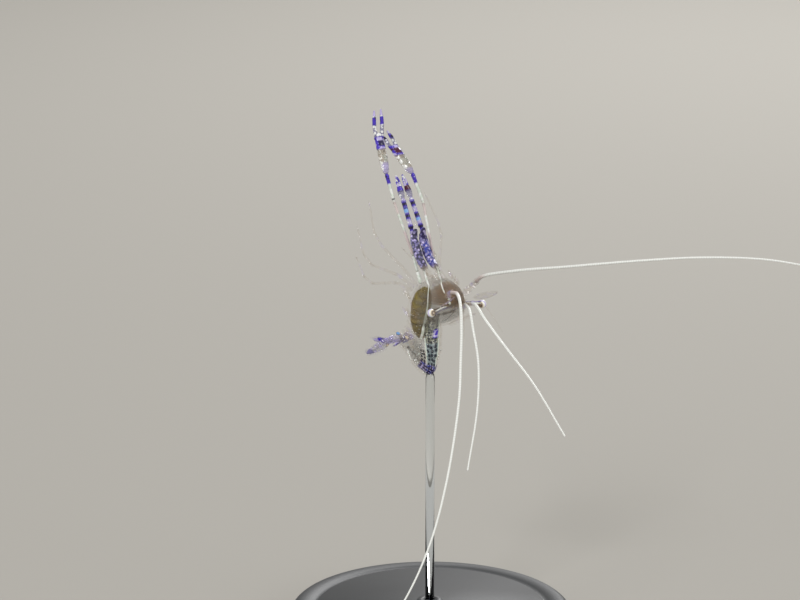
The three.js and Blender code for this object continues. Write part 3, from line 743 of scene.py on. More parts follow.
@surface("compound_eye_cornea", Roughness=0.05, IOR=1.4, Coat_Weight=1.0)
def eye_cornea(tree, tone, core):
    """The cornea of a compound eye: a wet dome of hexagonal facets, drawn 0.05 mm across, about
    twice the real size. Round a brown core lie rings of pigment: cream, white, then lilac."""
    (place,) = read(tree, "place")
    away = node(tree, "VectorMath", (place, core), out=1, operation="DISTANCE")
    cloud = node(tree, "TexNoise", {"Vector": place, "Scale": 5.0, "Detail": 2.0})
    away = node(tree, "Math", (cloud, 0.06, away), operation="MULTIPLY_ADD")
    facets = {"Vector": place, "Scale": 1 / 0.05, "Randomness": 0.1}
    facets = node(tree, "TexVoronoi", facets, feature="DISTANCE_TO_EDGE")
    relief = {"Height": facets, "Distance": 0.01 * MM, "Strength": 0.5}
    return {"Normal": node(tree, "Bump", relief)} | coats(
        tone.white, None,
        (band(away, None, 0.36, 0.03), tone.cream),
        (band(away, None, 0.29, 0.04), tone.pupil),
        (band(away, None, 0.1, 0.02), tone.cream),
        (band(away, 0.5, 0.6, 0.03), tone.lilac),
    )


@surface("clear_chitin_eyestalk", Roughness=0.1, IOR=1.45, Coat_Weight=0.7)
def stalk_cuticle(tree, tone):
    """Clear chitin of the eyestalks with a brown stripe, a violet one and fine dots."""
    place, up = read(tree, "place", "up")
    cloud = clouds(place, 3.0, 2.0, 0.35, 0.15)
    return coats(
        tone.shell, 0.16,
        (band(up, 0.45, 0.85, 0.12, cloud), tone.brown, 0.6),
        (band(up, -0.9, -0.6, 0.1, cloud), tone.violet, 0.6),
        (dots(place, 0.25, 0.03), tone.white, 0.95),
    )


@surface("thin_clear_chitin", Roughness=0.12, IOR=1.5, Coat_Weight=0.4)
def clear_chitin_limb(tree, tone):
    """Thin clear chitin of the walking legs, scales and swimmerets, with faint lilac veils and
    pin-point dots. On the last left swimmeret lie a light blue spot and a cream one."""
    (place,) = read(tree, "place")
    return coats(
        tone.shell, 0.07,
        (clouds(place, 1.2, 2.0, 0.58, 0.06), tone.lilac, 0.11),
        (dots(place, 0.4, 0.035), tone.white, 0.9),
        (round_point(place, (-10.83, 0.96, 0.24), 0.2, 0.05), tone.sky, 0.92),
        (round_point(place, (-9.65, 0.8, 0.93), 0.2, 0.05), tone.cream, 0.9),
    )


@surface("clear_shrimp_muscle", Roughness=0.3, IOR=1.4)
def clear_muscle(tree, tone):
    """Living muscle as clear as gelatine: faintly smoky, with soft slanting fibres."""
    (place,) = read(tree, "place")
    fibres = {"Vector": place, "Scale": 1.3, "Distortion": 1.5, "Detail": 1.0}
    fibre = node(tree, "TexWave", fibres, bands_direction="DIAGONAL")
    fibre = band(fibre, 0.6, None, 0.25)
    return coats(tone.muscle, 0.05, (fibre, tone.net_blue, 0.08))


@surface("shrimp_stomach_wall", Roughness=0.4, IOR=1.4)
def stomach_wall(tree, tone):
    """The tan mass of stomach and glands in the lower half of the head, soft and cloudy."""
    (place,) = read(tree, "place")
    cloud = clouds(place, 0.8, 3.0, 0.5, 0.15)
    return coats(tone.flesh, 0.13, (cloud, tone.red_tan, 0.16))


@surface("olive_gland_tissue", Roughness=0.35, IOR=1.4)
def gland_tissue(tree, tone):
    """Yellow-olive gland, soft and finely lobed, browner at its edge, seen through the shell."""
    (place,) = read(tree, "place")
    cloud = clouds(place, 1.2, 3.0, 0.5, 0.2)
    lobes = {"Vector": place, "Scale": 1 / 0.35, "Randomness": 0.8}
    lobes = node(tree, "TexVoronoi", lobes, feature="DISTANCE_TO_EDGE")
    relief = {"Height": lobes, "Distance": 0.05 * MM, "Strength": 0.4}
    painted = coats(tone.organ, 0.66, (cloud, tone.organ_brown, 0.6))
    return painted | {"Normal": node(tree, "Bump", relief)}


@surface("shrimp_gut", Roughness=0.4)
def gut_wall(tree, tone):
    """The dark thread of the gut along the back."""
    (place,) = read(tree, "place")
    cloud = clouds(place, 2.0, 2.0, 0.5, 0.1)
    return coats(tone.brown, 0.25, (cloud, tone.slate, 0.3))


CLEAR = {"Base_Color": (0.93, 0.96, 0.97, 1), "Transmission_Weight": 1.0}


@surface("cast_acrylic_rod", Roughness=0.03, IOR=1.49, **CLEAR)
def cast_acrylic(tree):
    """Cast acrylic rod, flame-polished: clear and glossy, with a faint long draw grain."""
    stretched = {"Vector": node(tree, "TexCoord", out="Object"), "Scale": (900, 900, 60)}
    grain = node(tree, "Mapping", stretched)
    grain = node(tree, "TexNoise", {"Vector": grain, "Scale": 1.0})
    relief = {"Height": grain, "Distance": 0.01 * MM, "Strength": 0.2}
    return {"Normal": node(tree, "Bump", relief)}


@surface("moulded_abs_base", IOR=1.5)
def moulded_abs(tree, stage):
    """Injection-moulded ABS with a fine spark-eroded texture: satin charcoal, grain 0.25 mm."""
    place = node(tree, "TexCoord", out="Object")
    grain = node(tree, "TexNoise", {"Vector": place, "Scale": 1 / (0.25 * MM), "Detail": 2.0})
    cloud = node(tree, "TexNoise", {"Vector": place, "Scale": 90.0, "Detail": 3.0})
    paler = [c * 1.35 for c in stage.base]
    relief = {"Height": grain, "Distance": 0.02 * MM, "Strength": 0.35}
    return coats(stage.base, None, (band(cloud, 0.5, None, 0.3), paler)) | {
        "Roughness": node(tree, "MapRange", {"Value": cloud, "To Min": 0.42, "To Max": 0.56}),
        "Normal": node(tree, "Bump", relief),
    }


@surface("matt_painted_floor", Roughness=0.9)
def painted_floor(tree, stage):
    """Matt emulsion on a studio floor, rolled on: plain, with the faintest cloudiness."""
    place = node(tree, "TexCoord", out="Object")
    cloud = node(tree, "TexNoise", {"Vector": place, "Scale": 3.0, "Detail": 2.0})
    duller = [c * 0.97 for c in stage.floor]
    return coats(stage.floor, None, (cloud, duller))


# ------------------------------------------------------------------ trunk

# Stations along the trunk: a point on the back, one on the belly, the half width, and how far
# the section goes from the plain one to the narrow keel of the hump.
CARAPACE = [
    ((0.45, 0.35), (0.8, -1.1), 0.5, 0),
    ((0.1, 0.72), (0.55, -1.8), 0.85, 0),
    ((-0.5, 0.98), (0.05, -2.6), 1.15, 0),
    ((-1.5, 1.12), (-1.1, -3.35), 1.42, 0),
    ((-2.8, 1.15), (-2.6, -3.8), 1.6, 0),
    ((-4.1, 1.02), (-4.5, -3.9), 1.66, 0),
    ((-5.4, 0.8), (-6.4, -3.4), 1.58, 0),
]
ABDOMEN = [
    ((-5.48, 0.76), (-6.6, -3.1), 1.5, 0),
    ((-5.85, 1.8), (-7.9, -1.5), 1.5, 0),
    ((-6.35, 3.45), (-8.6, 0.5), 1.46, 0.35),
    ((-7.2, 4.8), (-8.9, 1.4), 1.38, 1),
    ((-8.75, 4.95), (-9.1, 1.9), 1.24, 0.9),
    ((-9.8, 3.7), (-9.4, 1.6), 1.04, 0.4),
    ((-10.75, 2.6), (-10.3, 0.9), 0.86, 0.1),
    ((-12.2, 1.3), (-11.5, 0.15), 0.7, 0),
]
STATION_LENGTH = 1.6  # about how far apart those stations are round the back, in millimetres
PLATE_EDGES = [0, 1, 2, 4, 5, 6, 7]  # where each plate starts and ends on those stations
CARAPACE_FORM = (0.92, 0.16)
ABDOMEN_FORM = (0.78, -0.06)
HUMP_FORM = (1.05, -0.38)


def trunk_ring(stations, station, grow=1.0):
    """The ring of the trunk at a station, grown about its middle."""
    share = station / (len(stations) - 1)
    backs, bellies, widths, humps = zip(*stations)
    back, belly = (on_curve([Vector((x, 0, z)) for x, z in e], share) for e in (backs, bellies))
    width = number_at(widths, share)
    hump = on_curve([Vector((h, i, 0)) for i, h in enumerate(humps)], share).x
    centre = (back + belly) / 2
    form = CARAPACE_FORM
    if stations is ABDOMEN:
        form = [lerp(a, b, min(max(hump, 0), 1)) for a, b in zip(ABDOMEN_FORM, HUMP_FORM)]
    return centre, LEFT * width * grow, (back - centre) * grow, *form


def trunk_point(stations, station, angle, grow=1.0):
    """A point of the trunk's surface, its angle counted from the back, positive to the left."""
    centre, wide, high, square, egg = trunk_ring(stations, station, grow)
    c, s = bulged(math.cos(angle), square), bulged(math.sin(angle), square)
    return centre + wide * s * (1 + egg * c) + high * c


SHIELD_REACH = (112, 122, 132, 140, 143, 140, 128)  # degrees down from the back, at each station
SHIELD_SPINES = [(0.42, 68), (0.85, 92), (0.55, 112)]  # stations and degrees


def build_carapace(tone, sizes):
    bm = new_mesh()

    def place(across, share):
        station = share * 6
        i = min(int(station), 5)
        reach = math.radians(lerp(SHIELD_REACH[i], SHIELD_REACH[i + 1], station - i))
        angle = (across * 2 - 1) * reach
        # the front edge is scooped over each eye and the rear one over the abdomen
        scoop = 0.28 * math.exp(-(((abs(angle) - 1.15) / 0.35) ** 2))
        hollow = 0.16 * math.cos(angle) ** 2
        station = lerp(scoop, 6.12 - hollow, share)
        point = trunk_point(CARAPACE, min(station, 6), angle, 1.0 + 0.01 * share)
        if station > 6:
            point = point + Vector((-0.9, 0, -0.1)) * (station - 6)
        return point, station, angle * 1.4, math.cos(angle)

    laid_sheet(bm, 44, 48, place)
    for station, degrees in SHIELD_SPINES:
        for side in SIDES.values():
            root = trunk_point(CARAPACE, station, math.radians(degrees) * side)
            spike(bm, root, root + Vector((0.42, 0.1 * side, -0.02)), 0.07, 8)
    finished("carapace", bm, clear_cuticle(tone), "clear_shell", wall=sizes.shell)


def build_rostrum(tone):
    """A thin saw-edged blade with eight teeth above and two below, on a round keel."""
    bm = new_mesh()
    outline = [(-2.5, 1.12)]
    for i in range(8):
        share = i / 7
        x = lerp(-2.2, 2.45, share)
        ridge = lerp(1.26, 1.34, math.sin(share * math.pi)) - 0.04 * share
        outline += [(x, ridge), (x + 0.46, ridge + 0.15), (x + 0.44, ridge + 0.01)]
    outline += [(3.19, 1.2)]
    for x in (2.5, 1.7):
        outline += [(x, 1.05), (x - 0.02, 0.9), (x - 0.4, 1.0 - 0.06 * (2.5 - x))]
    outline += [(0.6, 0.86), (-0.2, 0.84), (-1.4, 0.98)]
    half = 0.07  # half the blade's thickness, and the keel's
    face = bm.faces.new([bm.verts.new((x, -half, z)) for x, z in outline])
    raised = bmesh.ops.extrude_face_region(bm, geom=[face])["geom"]
    moved = [g for g in raised if isinstance(g, bmesh.types.BMVert)]
    bmesh.ops.translate(bm, verts=moved, vec=LEFT * half * 2)
    bmesh.ops.triangulate(bm, faces=[f for f in bm.faces if len(f.verts) > 4])
    keel = [
        (-2.3, 1.14, 0.03), (-1.2, 1.12, 0.12), (0.0, 1.12, 0.16), (1.4, 1.14, 0.14),
        (2.6, 1.17, 0.1), (3.15, 1.2, 0.03),
    ]
    skin(bm, [(Vector((x, 0, z)), LEFT * wide, UP * half) for x, z, wide in keel], 10)
    piece = finished("rostrum", bm, clear_chitin_limb(tone), "clear_shell")
    piece.data.polygons.foreach_set("use_smooth", [False] * len(piece.data.polygons))


MUSCLE_STATIONS = (0.15, 5.9)
STOMACH_STATIONS = (0.7, 4.6)
STOMACH_TOP = -0.12  # how high it reaches, measured from the eyes
GLAND_CURVE = vectors(
    (-4.3, 0.5, -2.7), (-5.0, 0.5, -2.3), (-5.9, 0.48, -1.5), (-6.6, 0.46, -0.5),
    (-7.1, 0.42, 0.6), (-7.4, 0.4, 1.2),
)
GLAND_RADII = (0.5, 0.88, 1.0, 1.0, 0.85, 0.45)

# Where the white lines run under the shell, in stations and degrees from the back. A line of
# pigment runs down each flank. On the cheek and the hip only the left has a line of pigment, and
# on the rear only the left has a painted highlight: a white thread along the lower edge behind
# the hump, where a rim of light falls. Each is given with its half width. Three dots follow the
# hip on both sides.
FLANK_LINE = [(3.86, 132), (3.82, 118), (3.84, 100), (3.98, 84), (4.5, 62), (5.2, 45), (5.95, 33)]
LEFT_LINES_AND_HIGHLIGHT = [
    (CARAPACE, [(2.72, 147), (2.5, 136), (2.2, 123), (1.9, 114)], 0.075),
    (ABDOMEN, [(-0.1, 33), (0.3, 36), (0.6, 38), (0.9, 42), (1.1, 46), (1.25, 50)], 0.15),
    # the rear: a painted highlight, not pigment, along the lower edge behind the hump
    (ABDOMEN, [(3.9, 98), (4.3, 104), (4.7, 110), (5.1, 114)], 0.06),
]
HIP_DOTS = [(3.15, 82), (3.2, 72), (2.35, 70)]
# Threads from the roots of the long arms into the head, and the two lobes of the face's spot.
LEG_THREADS = {
    "left": vectors((-3.5, 0.7, -5.3), (-3.02, 0.9, -4.3), (-2.6, 1.08, -3.3), (-2.37, 1.12, -2.8)),
    "right": vectors(
        (-3.55, -0.45, -5.45), (-3.25, -0.6, -4.5), (-3.0, -0.62, -3.6), (-2.8, -0.6, -3.0)
    ),
}
FACE_SPOT = [
    vectors((0.3, 0.85, -0.78), (0.32, 0.85, -0.9), (0.32, 0.86, -1.0)),
    vectors((0.3, 0.86, -0.42), (0.3, 0.86, -0.52), (0.3, 0.86, -0.6)),
]
UNDER_SHELL = 0.985  # how far out the white lines lie, where the shell is 1
THREAD_DEPTH = 0.03  # half the thickness of a line


def line_under_shell(bm, side, stations, path, half_width, end_width=None):
    """A flat white thread just under the shell, through stations and degrees. It draws the lines of
    pigment and the painted highlight on the rear.
    """
    places = []
    for mark in sampled([Vector((station, degrees / 30, 0)) for station, degrees in path], 32):
        angle = math.radians(mark.y * 30) * side
        here = trunk_point(stations, mark.x, angle, UNDER_SHELL)
        places.append((here, trunk_point(stations, mark.x, angle, 1.1) - here))
    rings = []
    for i, (point, out) in enumerate(places):
        along = (places[min(i + 1, 32)][0] - places[max(i - 1, 0)][0]).normalized()
        wide = along.cross(out.normalized()).normalized()
        taper = 0.35 + 0.65 * min(1, 5 * min(i, 32 - i) / 32)
        across = lerp(half_width, end_width or half_width, smoothstep(i / 16 - 1)) * taper
        rings.append((point, wide * across, wide.cross(along) * THREAD_DEPTH))
    skin(bm, rings, 8)


def thread(bm, points, radius):
    """A thread of pigment through points, thinning at both ends."""
    radii = [radius * (0.4 + 0.6 * min(1, min(i, 16 - i) / 4)) for i in range(17)]
    tube(bm, sampled(points, 16), radii, 8)


def build_pigment_and_highlight(tone):
    """The white lines of pigment under the shell, the painted highlight along the rear edge on the
    left, and the two-lobed spot on the left of the face.
    """
    material = pigment(tone)
    for name, side in SIDES.items():
        bm = new_mesh()
        line_under_shell(bm, side, CARAPACE, FLANK_LINE, 0.1, 0.15)
        thread(bm, LEG_THREADS[name], 0.1)
        if side > 0:
            # on the left: lines of pigment on the cheek and the hip, and a painted highlight on the
            # rear
            for line in LEFT_LINES_AND_HIGHLIGHT:
                line_under_shell(bm, side, *line)
            for lobe in FACE_SPOT:
                thread(bm, lobe, 0.13)
        for station, degrees in HIP_DOTS:
            dot = trunk_point(ABDOMEN, station, math.radians(degrees) * side, 0.98)
            thread(bm, [dot, dot + FORWARD * 0.06, dot + FORWARD * 0.12], 0.08)
        finished(f"white_line_{name}", bm, material)


def build_thorax(tone):
    """The clear muscle inside the head shield, with the stomach, the gland and the gut."""
    bm = new_mesh()
    rings = [trunk_ring(CARAPACE, lerp(*MUSCLE_STATIONS, i / 23), 0.9) for i in range(24)]
    skin(bm, domed(rings, 0.3), 32)
    finished("thorax_muscle", bm, clear_muscle(tone))

    bm = new_mesh()
    rings = []
    for i in range(24):
        share = i / 23
        centre, wide, high, *form = trunk_ring(CARAPACE, lerp(*STOMACH_STATIONS, share), 0.86)
        low, top = centre - high, centre + high
        top = low.lerp(top, (STOMACH_TOP - low.z) / (top.z - low.z))
        slim = lerp(1.0, 0.5, smoothstep(share * 1.6 - 0.6)) * (1 + 0.04 * math.sin(i * 1.3))
        rings.append(((low + top) / 2, wide * slim, (top - low) / 2 * slim, *form))
    skin(bm, domed(rings, 1.5), 32)
    finished("stomach", bm, stomach_wall(tone))

    bm = new_mesh()
    radii = [
        radius * (1 + 0.015 * math.sin(i / 24 * 22))
        for i, radius in enumerate(sampled(GLAND_RADII, 24))
    ]
    tube(bm, sampled(GLAND_CURVE, 24), radii, 24, 0.85, 0.7)
    finished("olive_gland", bm, gland_tissue(tone))

    bm = new_mesh()
    path = [trunk_ring(CARAPACE, 2.2 + i * 0.4) for i in range(9)]
    path += [trunk_ring(ABDOMEN, 0.4 + i * 0.4) for i in range(16)]
    points = [centre + high * 0.55 for centre, _, high, *_ in path]
    tube(bm, points, [0.13 + 0.03 * math.sin(i * 1.9) for i in range(25)], 10)
    finished("gut", bm, gut_wall(tone))


# ------------------------------------------------------------------ abdomen and tail

# The paddles of the left side: root and tip of each.
SWIMMERETS = [
    ((-6.9, 0.75, -1.6), (-7.75, 0.95, -3.7)),
    ((-7.8, 0.75, 0.0), (-8.5, 0.95, -2.0)),
    ((-8.7, 0.7, 1.9), (-9.1, 0.85, -0.2)),
    ((-9.45, 0.55, 2.0), (-9.95, 0.7, 0.0)),
    ((-10.35, 0.5, 1.2), (-11.05, 1.08, -0.05)),
]
PLATE_LAPS = (0.9, 0.1, 0, 0, 0, 0)  # how far forward of its edge each plate starts, in stations


def plate_side(station, angle):
    """Distance round the back from the midline, in millimetres, drawn out at the hump so that
    the white lines close in there. The abdomen is a little twisted, so its midline wanders to
    the left at the hump."""
    share = min(station / 2.7, 1.0)
    if station > 3.2:
        share = max(1 - (station - 3.2) / 2, 0)
    half = trunk_ring(ABDOMEN, station)[1].y
    shift = lerp(-0.09, 0.37, share)
    return (angle * half - shift) * 0.85 / lerp(0.85, 0.62, share)


def build_abdomen(tone, sizes):
    material = spotted_cuticle(tone, sizes)
    clear = clear_chitin_limb(tone)
    for index in range(6):
        bm = new_mesh()
        first, last = PLATE_EDGES[index], PLATE_EDGES[index + 1]
        under = 0.06 if index == 1 else -0.02  # the second plate laps over both its neighbours

        def place(across, share):
            lobe = math.sin(share * math.pi) ** 0.6
            reach = math.radians(lerp(96, 122 if index < 5 else 150, lobe))
            angle = (across * 2 - 1) * reach
            station = lerp(first - PLATE_LAPS[index], last + 0.1, share)
            flare = lerp(under, 0.035, smoothstep(share * 1.2 - 0.1))
            flare += 0.012 * math.exp(-(((share - 0.93) / 0.05) ** 2))
            point = trunk_point(ABDOMEN, min(max(station, 0), 7), angle, 1 + flare)
            if station < 0:  # tucked under the head shield
                point = point + Vector((0.35, 0.12 * point.y, -1.05)) * -station
            return point, station, plate_side(station, angle), math.cos(angle)

        laid_sheet(bm, 40, 10 * (last - first) + 8, place)
        name, nodes = f"abdomen_plate_{index + 1}", [f"abdomen_{index + 1}"]
        finished(name, bm, material, "spotted_shell", nodes, wall=sizes.shell)
        if index < len(SWIMMERETS):
            build_swimmerets(index, clear, sizes)
    bm = new_mesh()
    rings = [trunk_ring(ABDOMEN, 0.1 + i * 6.8 / 35, 0.84) for i in range(36)]
    skin(bm, domed(rings, 0.3), 28)
    finished("abdomen_muscle", bm, clear_muscle(tone))


def build_swimmerets(index, material, sizes):
    """A pair of paddles under one plate: a short root, and two fringed blades."""
    bm = new_mesh()
    for side in SIDES.values():
        root, tip = to_side(vectors(*SWIMMERETS[index]), side)
        knee = root.lerp(tip, 0.42) + FORWARD * 0.06
        tube(bm, [root.lerp(knee, s) for s in (-0.2, 0.5, 1.0)], [0.2, 0.19, 0.16], 10)
        for spread, reach in ((0.16, 1.0), (-0.16, 0.92)):
            end = knee.lerp(tip, reach) + LEFT * side * spread
            rings = blade(bm, knee, end, PADDLE, LEFT, steps=12, around=10)
            fringe(bm, rings, BOTH_EDGES, sizes.bristle / MM * 0.5, 0.4, 0.98, 9, 0.01)
    finished(f"swimmerets_{index + 1}", bm, material)


def cupped(side, turn):
    """Across a tail blade on one side, its outer edge turned by turn degrees to the belly."""
    return LEFT * side * math.cos(math.radians(turn)) - UP * math.sin(math.radians(turn))


# The telson: places along it with its height, half width and half thickness.
TELSON = [
    (-11.9, 0.8, 0.46, 0.24), (-12.6, 0.72, 0.42, 0.2), (-13.4, 0.66, 0.37, 0.17),
    (-14.3, 0.6, 0.31, 0.14), (-15.0, 0.55, 0.22, 0.11), (-15.18, 0.53, 0.13, 0.08),
]
# The blades beside it: the left inner one dips, the outer ones are lifted, and each is cupped
# towards the belly by an angle in degrees.
INNER_BLADE_TIPS = {"left": Vector((-15.65, 1.2, -0.05)), "right": Vector((-15.45, -1.0, 0.7))}
OUTER_BLADE_TIPS = {"left": Vector((-15.35, 2.45, 1.18)), "right": Vector((-15.35, -2.25, 0.7))}
INNER_CUP = {"left": 48, "right": 30}
OUTER_CUP = {"left": 40, "right": 8}


def build_tail(tone, sizes):
    material = fin_cuticle(tone)
    bristle = sizes.bristle / MM
    bm = new_mesh()
    points = sampled([Vector((x, 0, z)) for x, z, _, _ in TELSON], 20)
    halves = sampled([Vector((wide, thick, 0)) for _, _, wide, thick in TELSON], 20)
    rings = [(p, LEFT * half.x, UP * half.y, 0.8, 0.0) for p, half in zip(points, halves)]
    skin(bm, domed(rings, 0.4), 20)
    for i, spread in enumerate((-0.2, -0.1, 0.1, 0.2)):
        root = Vector((-15.05, spread, 0.55))
        spike(bm, root, root + Vector((-0.42 if i in (1, 2) else -0.3, spread * 0.6, 0)), 0.03)
    for x in (-13.5, -14.4):
        for side in SIDES.values():
            root = Vector((x, 0.24 * side, 0.78 - 0.05 * (-13.5 - x)))
            spike(bm, root, root + Vector((-0.3, 0.02 * side, 0.08)), 0.03)
    finished("telson", bm, material, "spotted_shell")

    for name, side in SIDES.items():
        bm = new_mesh()
        stem = vectors((-11.75, 0.35, 0.48), (-12.1, 0.62, 0.42), (-12.45, 0.85, 0.35))
        tube(bm, to_side(stem, side), [0.27, 0.26, 0.28], 14)
        root, tip = Vector((-12.3, 0.9 * side, 0.58)), INNER_BLADE_TIPS[name]
        rings = blade(bm, root, tip, INNER_BLADE, cupped(side, INNER_CUP[name]), UP * 0.06)
        fringe(bm, rings, BOTH_EDGES, bristle, 0.35, 0.98, 26)
        root, tip = Vector((-12.2, 0.98 * side, 0.4)), OUTER_BLADE_TIPS[name]
        rings = blade(bm, root, tip, OUTER_BLADE, cupped(side, OUTER_CUP[name]), UP * 0.08)
        fringe(bm, rings, (-side,), bristle, 0.35, 0.98, 30)
        fringe(bm, rings, (side,), bristle * 0.8, 0.8, 0.98, 8)
        rib = [root.lerp(tip, s) + UP * 0.09 * k for s, k in ((0.04, 0.8), (0.45, 1.5), (0.9, 1))]
        tube(bm, sampled(rib, 12), [0.05] * 13, 6)
        finished(f"uropod_{name}", bm, material, "spotted_shell")


# ------------------------------------------------------------------ head

EYE_CENTRE = (-0.1, 2.85, 0.06)
EYE_CORES = {"left": (0.28, 2.79, 0.15), "right": (0.04, -2.5, 0.17)}  # middle of its rings
EYESTALK = vectors(
    (-0.15, 0.5, -0.34), (-0.12, 0.95, -0.31), (-0.1, 1.4, -0.25), (-0.1, 1.85, -0.16),
    (-0.1, 2.25, -0.06), (-0.1, 2.5, 0.0), (-0.1, 2.64, 0.03),
)
EYESTALK_RADII = [0.22, 0.2, 0.18, 0.19, 0.24, 0.31, 0.34]
EYESTALK_LINE = vectors((0.08, 1.15, -0.3), (0.11, 1.6, -0.22), (0.14, 2.1, -0.1), (0.22, 2.5, 0.0))


def build_eyes(tone, sizes):
    stalk = stalk_cuticle(tone)
    for name, side in SIDES.items():
        bm = new_mesh()
        radius = sizes.eye / MM / 2
        globe = bmesh.ops.create_uvsphere(bm, u_segments=40, v_segments=28, radius=radius)
        centre = Matrix.Translation(to_side(vectors(EYE_CENTRE), side)[0])
        turned = Matrix.Rotation(math.radians(-90 * side), 4, "X")
        flattened = Matrix.Diagonal((1, 1, 0.94, 1))
        bmesh.ops.transform(bm, matrix=centre @ turned @ flattened, verts=globe["verts"])
        cornea = eye_cornea(tone, EYE_CORES[name], name=f"compound_eye_cornea_{name}")
        finished(f"eye_{name}", bm, cornea, "cornea")

        bm = new_mesh()
        points, radii = sampled(to_side(EYESTALK, side), 24), sampled(EYESTALK_RADII, 24)
        tube(bm, points, radii, 20, blunt=0.5, wide_along=FORWARD)
        finished(f"eyestalk_{name}", bm, stalk, "clear_shell")
        bm = new_mesh()
        thread(bm, to_side(EYESTALK_LINE, side), 0.07)
        finished(f"eyestalk_{name}_line", bm, pigment(tone))


ANTENNULE_STEM = vectors((0.1, 0.45, 0.0), (1.5, 0.46, 0.02), (2.1, 0.44, 0.06), (2.5, 0.42, 0.1))
ANTENNULE_BRANCH = vectors((2.45, 0.5, 0.1), (2.95, 1.1, 0.45), (3.4, 1.6, 1.8), (3.6, 2.1, 3.4))
ANTENNULE_CURVES = {
    "left": vectors(
        (2.3, 0.42, 0.1), (3.1, 0.55, 0.7), (3.7, 1.0, 2.8), (4.25, 1.6, 6.0), (4.1, 2.8, 10.3),
        (2.8, 4.5, 15.5),
    ),
    "right": vectors(
        (2.3, -0.42, 0.1), (3.0, -0.38, 0.5), (3.6, -0.6, 2.0), (4.9, -1.5, 5.4), (6.0, -2.7, 9.0),
        (6.6, -4.35, 14.4),
    ),
}
ANTENNA_CURVES = {
    "left": vectors(
        (2.0, 1.36, -1.3), (3.1, 1.46, -0.95), (3.7, 1.7, 0.0), (4.07, 2.45, 2.6), (3.9, 3.3, 5.8),
        (3.5, 4.1, 9.0), (1.7, 6.3, 16.0), (-0.8, 8.3, 21.5), (-3.7, 10.6, 25.9), (-8.4, 13.0, 29.6),
    ),
    "right": vectors(
        (2.3, -1.4, -1.95), (3.4, -1.6, -2.15), (6.2, -3.9, -1.75), (8.6, -6.9, -1.1),
        (12.1, -13.5, 0.0), (14.0, -18.9, 0.9), (15.6, -24.4, 2.2), (16.4, -28.2, 3.5),
        (16.6, -33.4, 5.4),
    ),
}
ANTENNA_TIPS = {"left": Vector((2.2, 1.38, -1.3)), "right": Vector((2.5, -1.42, -1.95))}


def build_antennules(tone, sizes):
    clear = clear_chitin_limb(tone)
    white = feeler_chitin(tone, -1.0)
    for name, side in SIDES.items():
        bm = new_mesh()
        limb(bm, to_side(ANTENNULE_STEM, side), [0.27, 0.26, 0.22, 0.24], 18, swell=1.08)
        spike(bm, *to_side(vectors((0.55, 0.68, 0.0), (1.55, 0.86, 0.08)), side), 0.1, 8)
        feeler(bm, to_side(ANTENNULE_BRANCH, side), 0.11, 0.04, step=0.15)
        node_name = f"antennule_{name}"
        finished(node_name, bm, clear, "clear_shell")
        bm = new_mesh()
        root_radius, tip_radius = sizes.feeler_root / MM * 0.45, sizes.feeler_tip / MM / 2
        feeler(bm, ANTENNULE_CURVES[name], root_radius, tip_radius)
        nodes = [f"{node_name}_feeler_{i}" for i in (1, 2)]
        finished(f"{node_name}_feeler", bm, white, "white_feeler", nodes)


def build_antennae(tone, sizes):
    clear = clear_chitin_limb(tone)
    white = feeler_chitin(tone, 1.4, name="white_chitin_long_feeler")
    for name, side in SIDES.items():
        tip = ANTENNA_TIPS[name]
        root = Vector((0.2, 0.95 * side, -1.2))
        bm = new_mesh()
        stem = [root, root.lerp(tip, 0.5), root.lerp(tip, 0.78), tip]
        limb(bm, stem, [0.36, 0.33, 0.27, 0.27], 18)
        low, high = root.lerp(tip, 0.4), root.lerp(tip, 0.72)
        spike(bm, low + LEFT * side * 0.28, high + LEFT * side * 0.42, 0.07, 8)
        finished(f"antenna_{name}", bm, clear, "clear_shell")

        bm = new_mesh()
        root, tip = to_side(vectors((0.62, 1.7, -0.5), (3.9, 2.44, -0.45)), side)
        across = Vector((-0.1, side, 0.5))
        rings = blade(bm, root, tip, ANTENNAL_SCALE, across, steps=26, around=16)
        fringe(bm, rings, (-1,), sizes.bristle / MM * 0.7, 0.3, 0.98, 26, 0.011)
        rib = [centre + wide * 0.9 for centre, wide, *_ in rings[4:24]]
        tube(bm, rib, [0.06] * len(rib), 6)
        spike(bm, rib[-1], rib[-1] + (rib[-1] - rib[-3]).normalized() * 0.45, 0.06, 6)
        finished(f"antenna_scale_{name}", bm, clear, "clear_shell")

        bm = new_mesh()
        feeler(bm, ANTENNA_CURVES[name], sizes.feeler_root / MM / 2, sizes.feeler_tip / MM / 2)
        nodes = [f"antenna_{name}_feeler_{i}" for i in (1, 2, 3)]
        finished(f"antenna_{name}_feeler", bm, white, "white_feeler", nodes)


MAXILLIPED_JOINTS = {
    "left": vectors(
        (-1.9, 0.65, -3.0), (-2.6, 0.95, -4.4), (-3.0, 1.1, -5.6), (-3.35, 1.05, -7.7),
        (-2.8, 0.9, -8.5),
    ),
    "right": vectors(
        (-1.9, -0.6, -3.0), (-2.6, -0.25, -4.4), (-3.0, 0.1, -5.6), (-3.35, 0.09, -7.7),
        (-2.8, 0.0, -8.5),
    ),
}
MAXILLIPED_RADII = [0.28, 0.37, 0.46, 0.43, 0.2]
# The lobes of the jaws: root, tip and radius.
JAW_LOBES = [
    ((0.35, 0.3, -2.0), (-0.1, 0.5, -2.7), 0.24), ((0.0, 0.75, -2.2), (-0.5, 0.85, -3.0), 0.2),
    ((-0.4, 0.4, -2.9), (-0.9, 0.55, -3.6), 0.2), ((-0.9, 0.8, -3.0), (-1.4, 0.8, -3.7), 0.17),
]


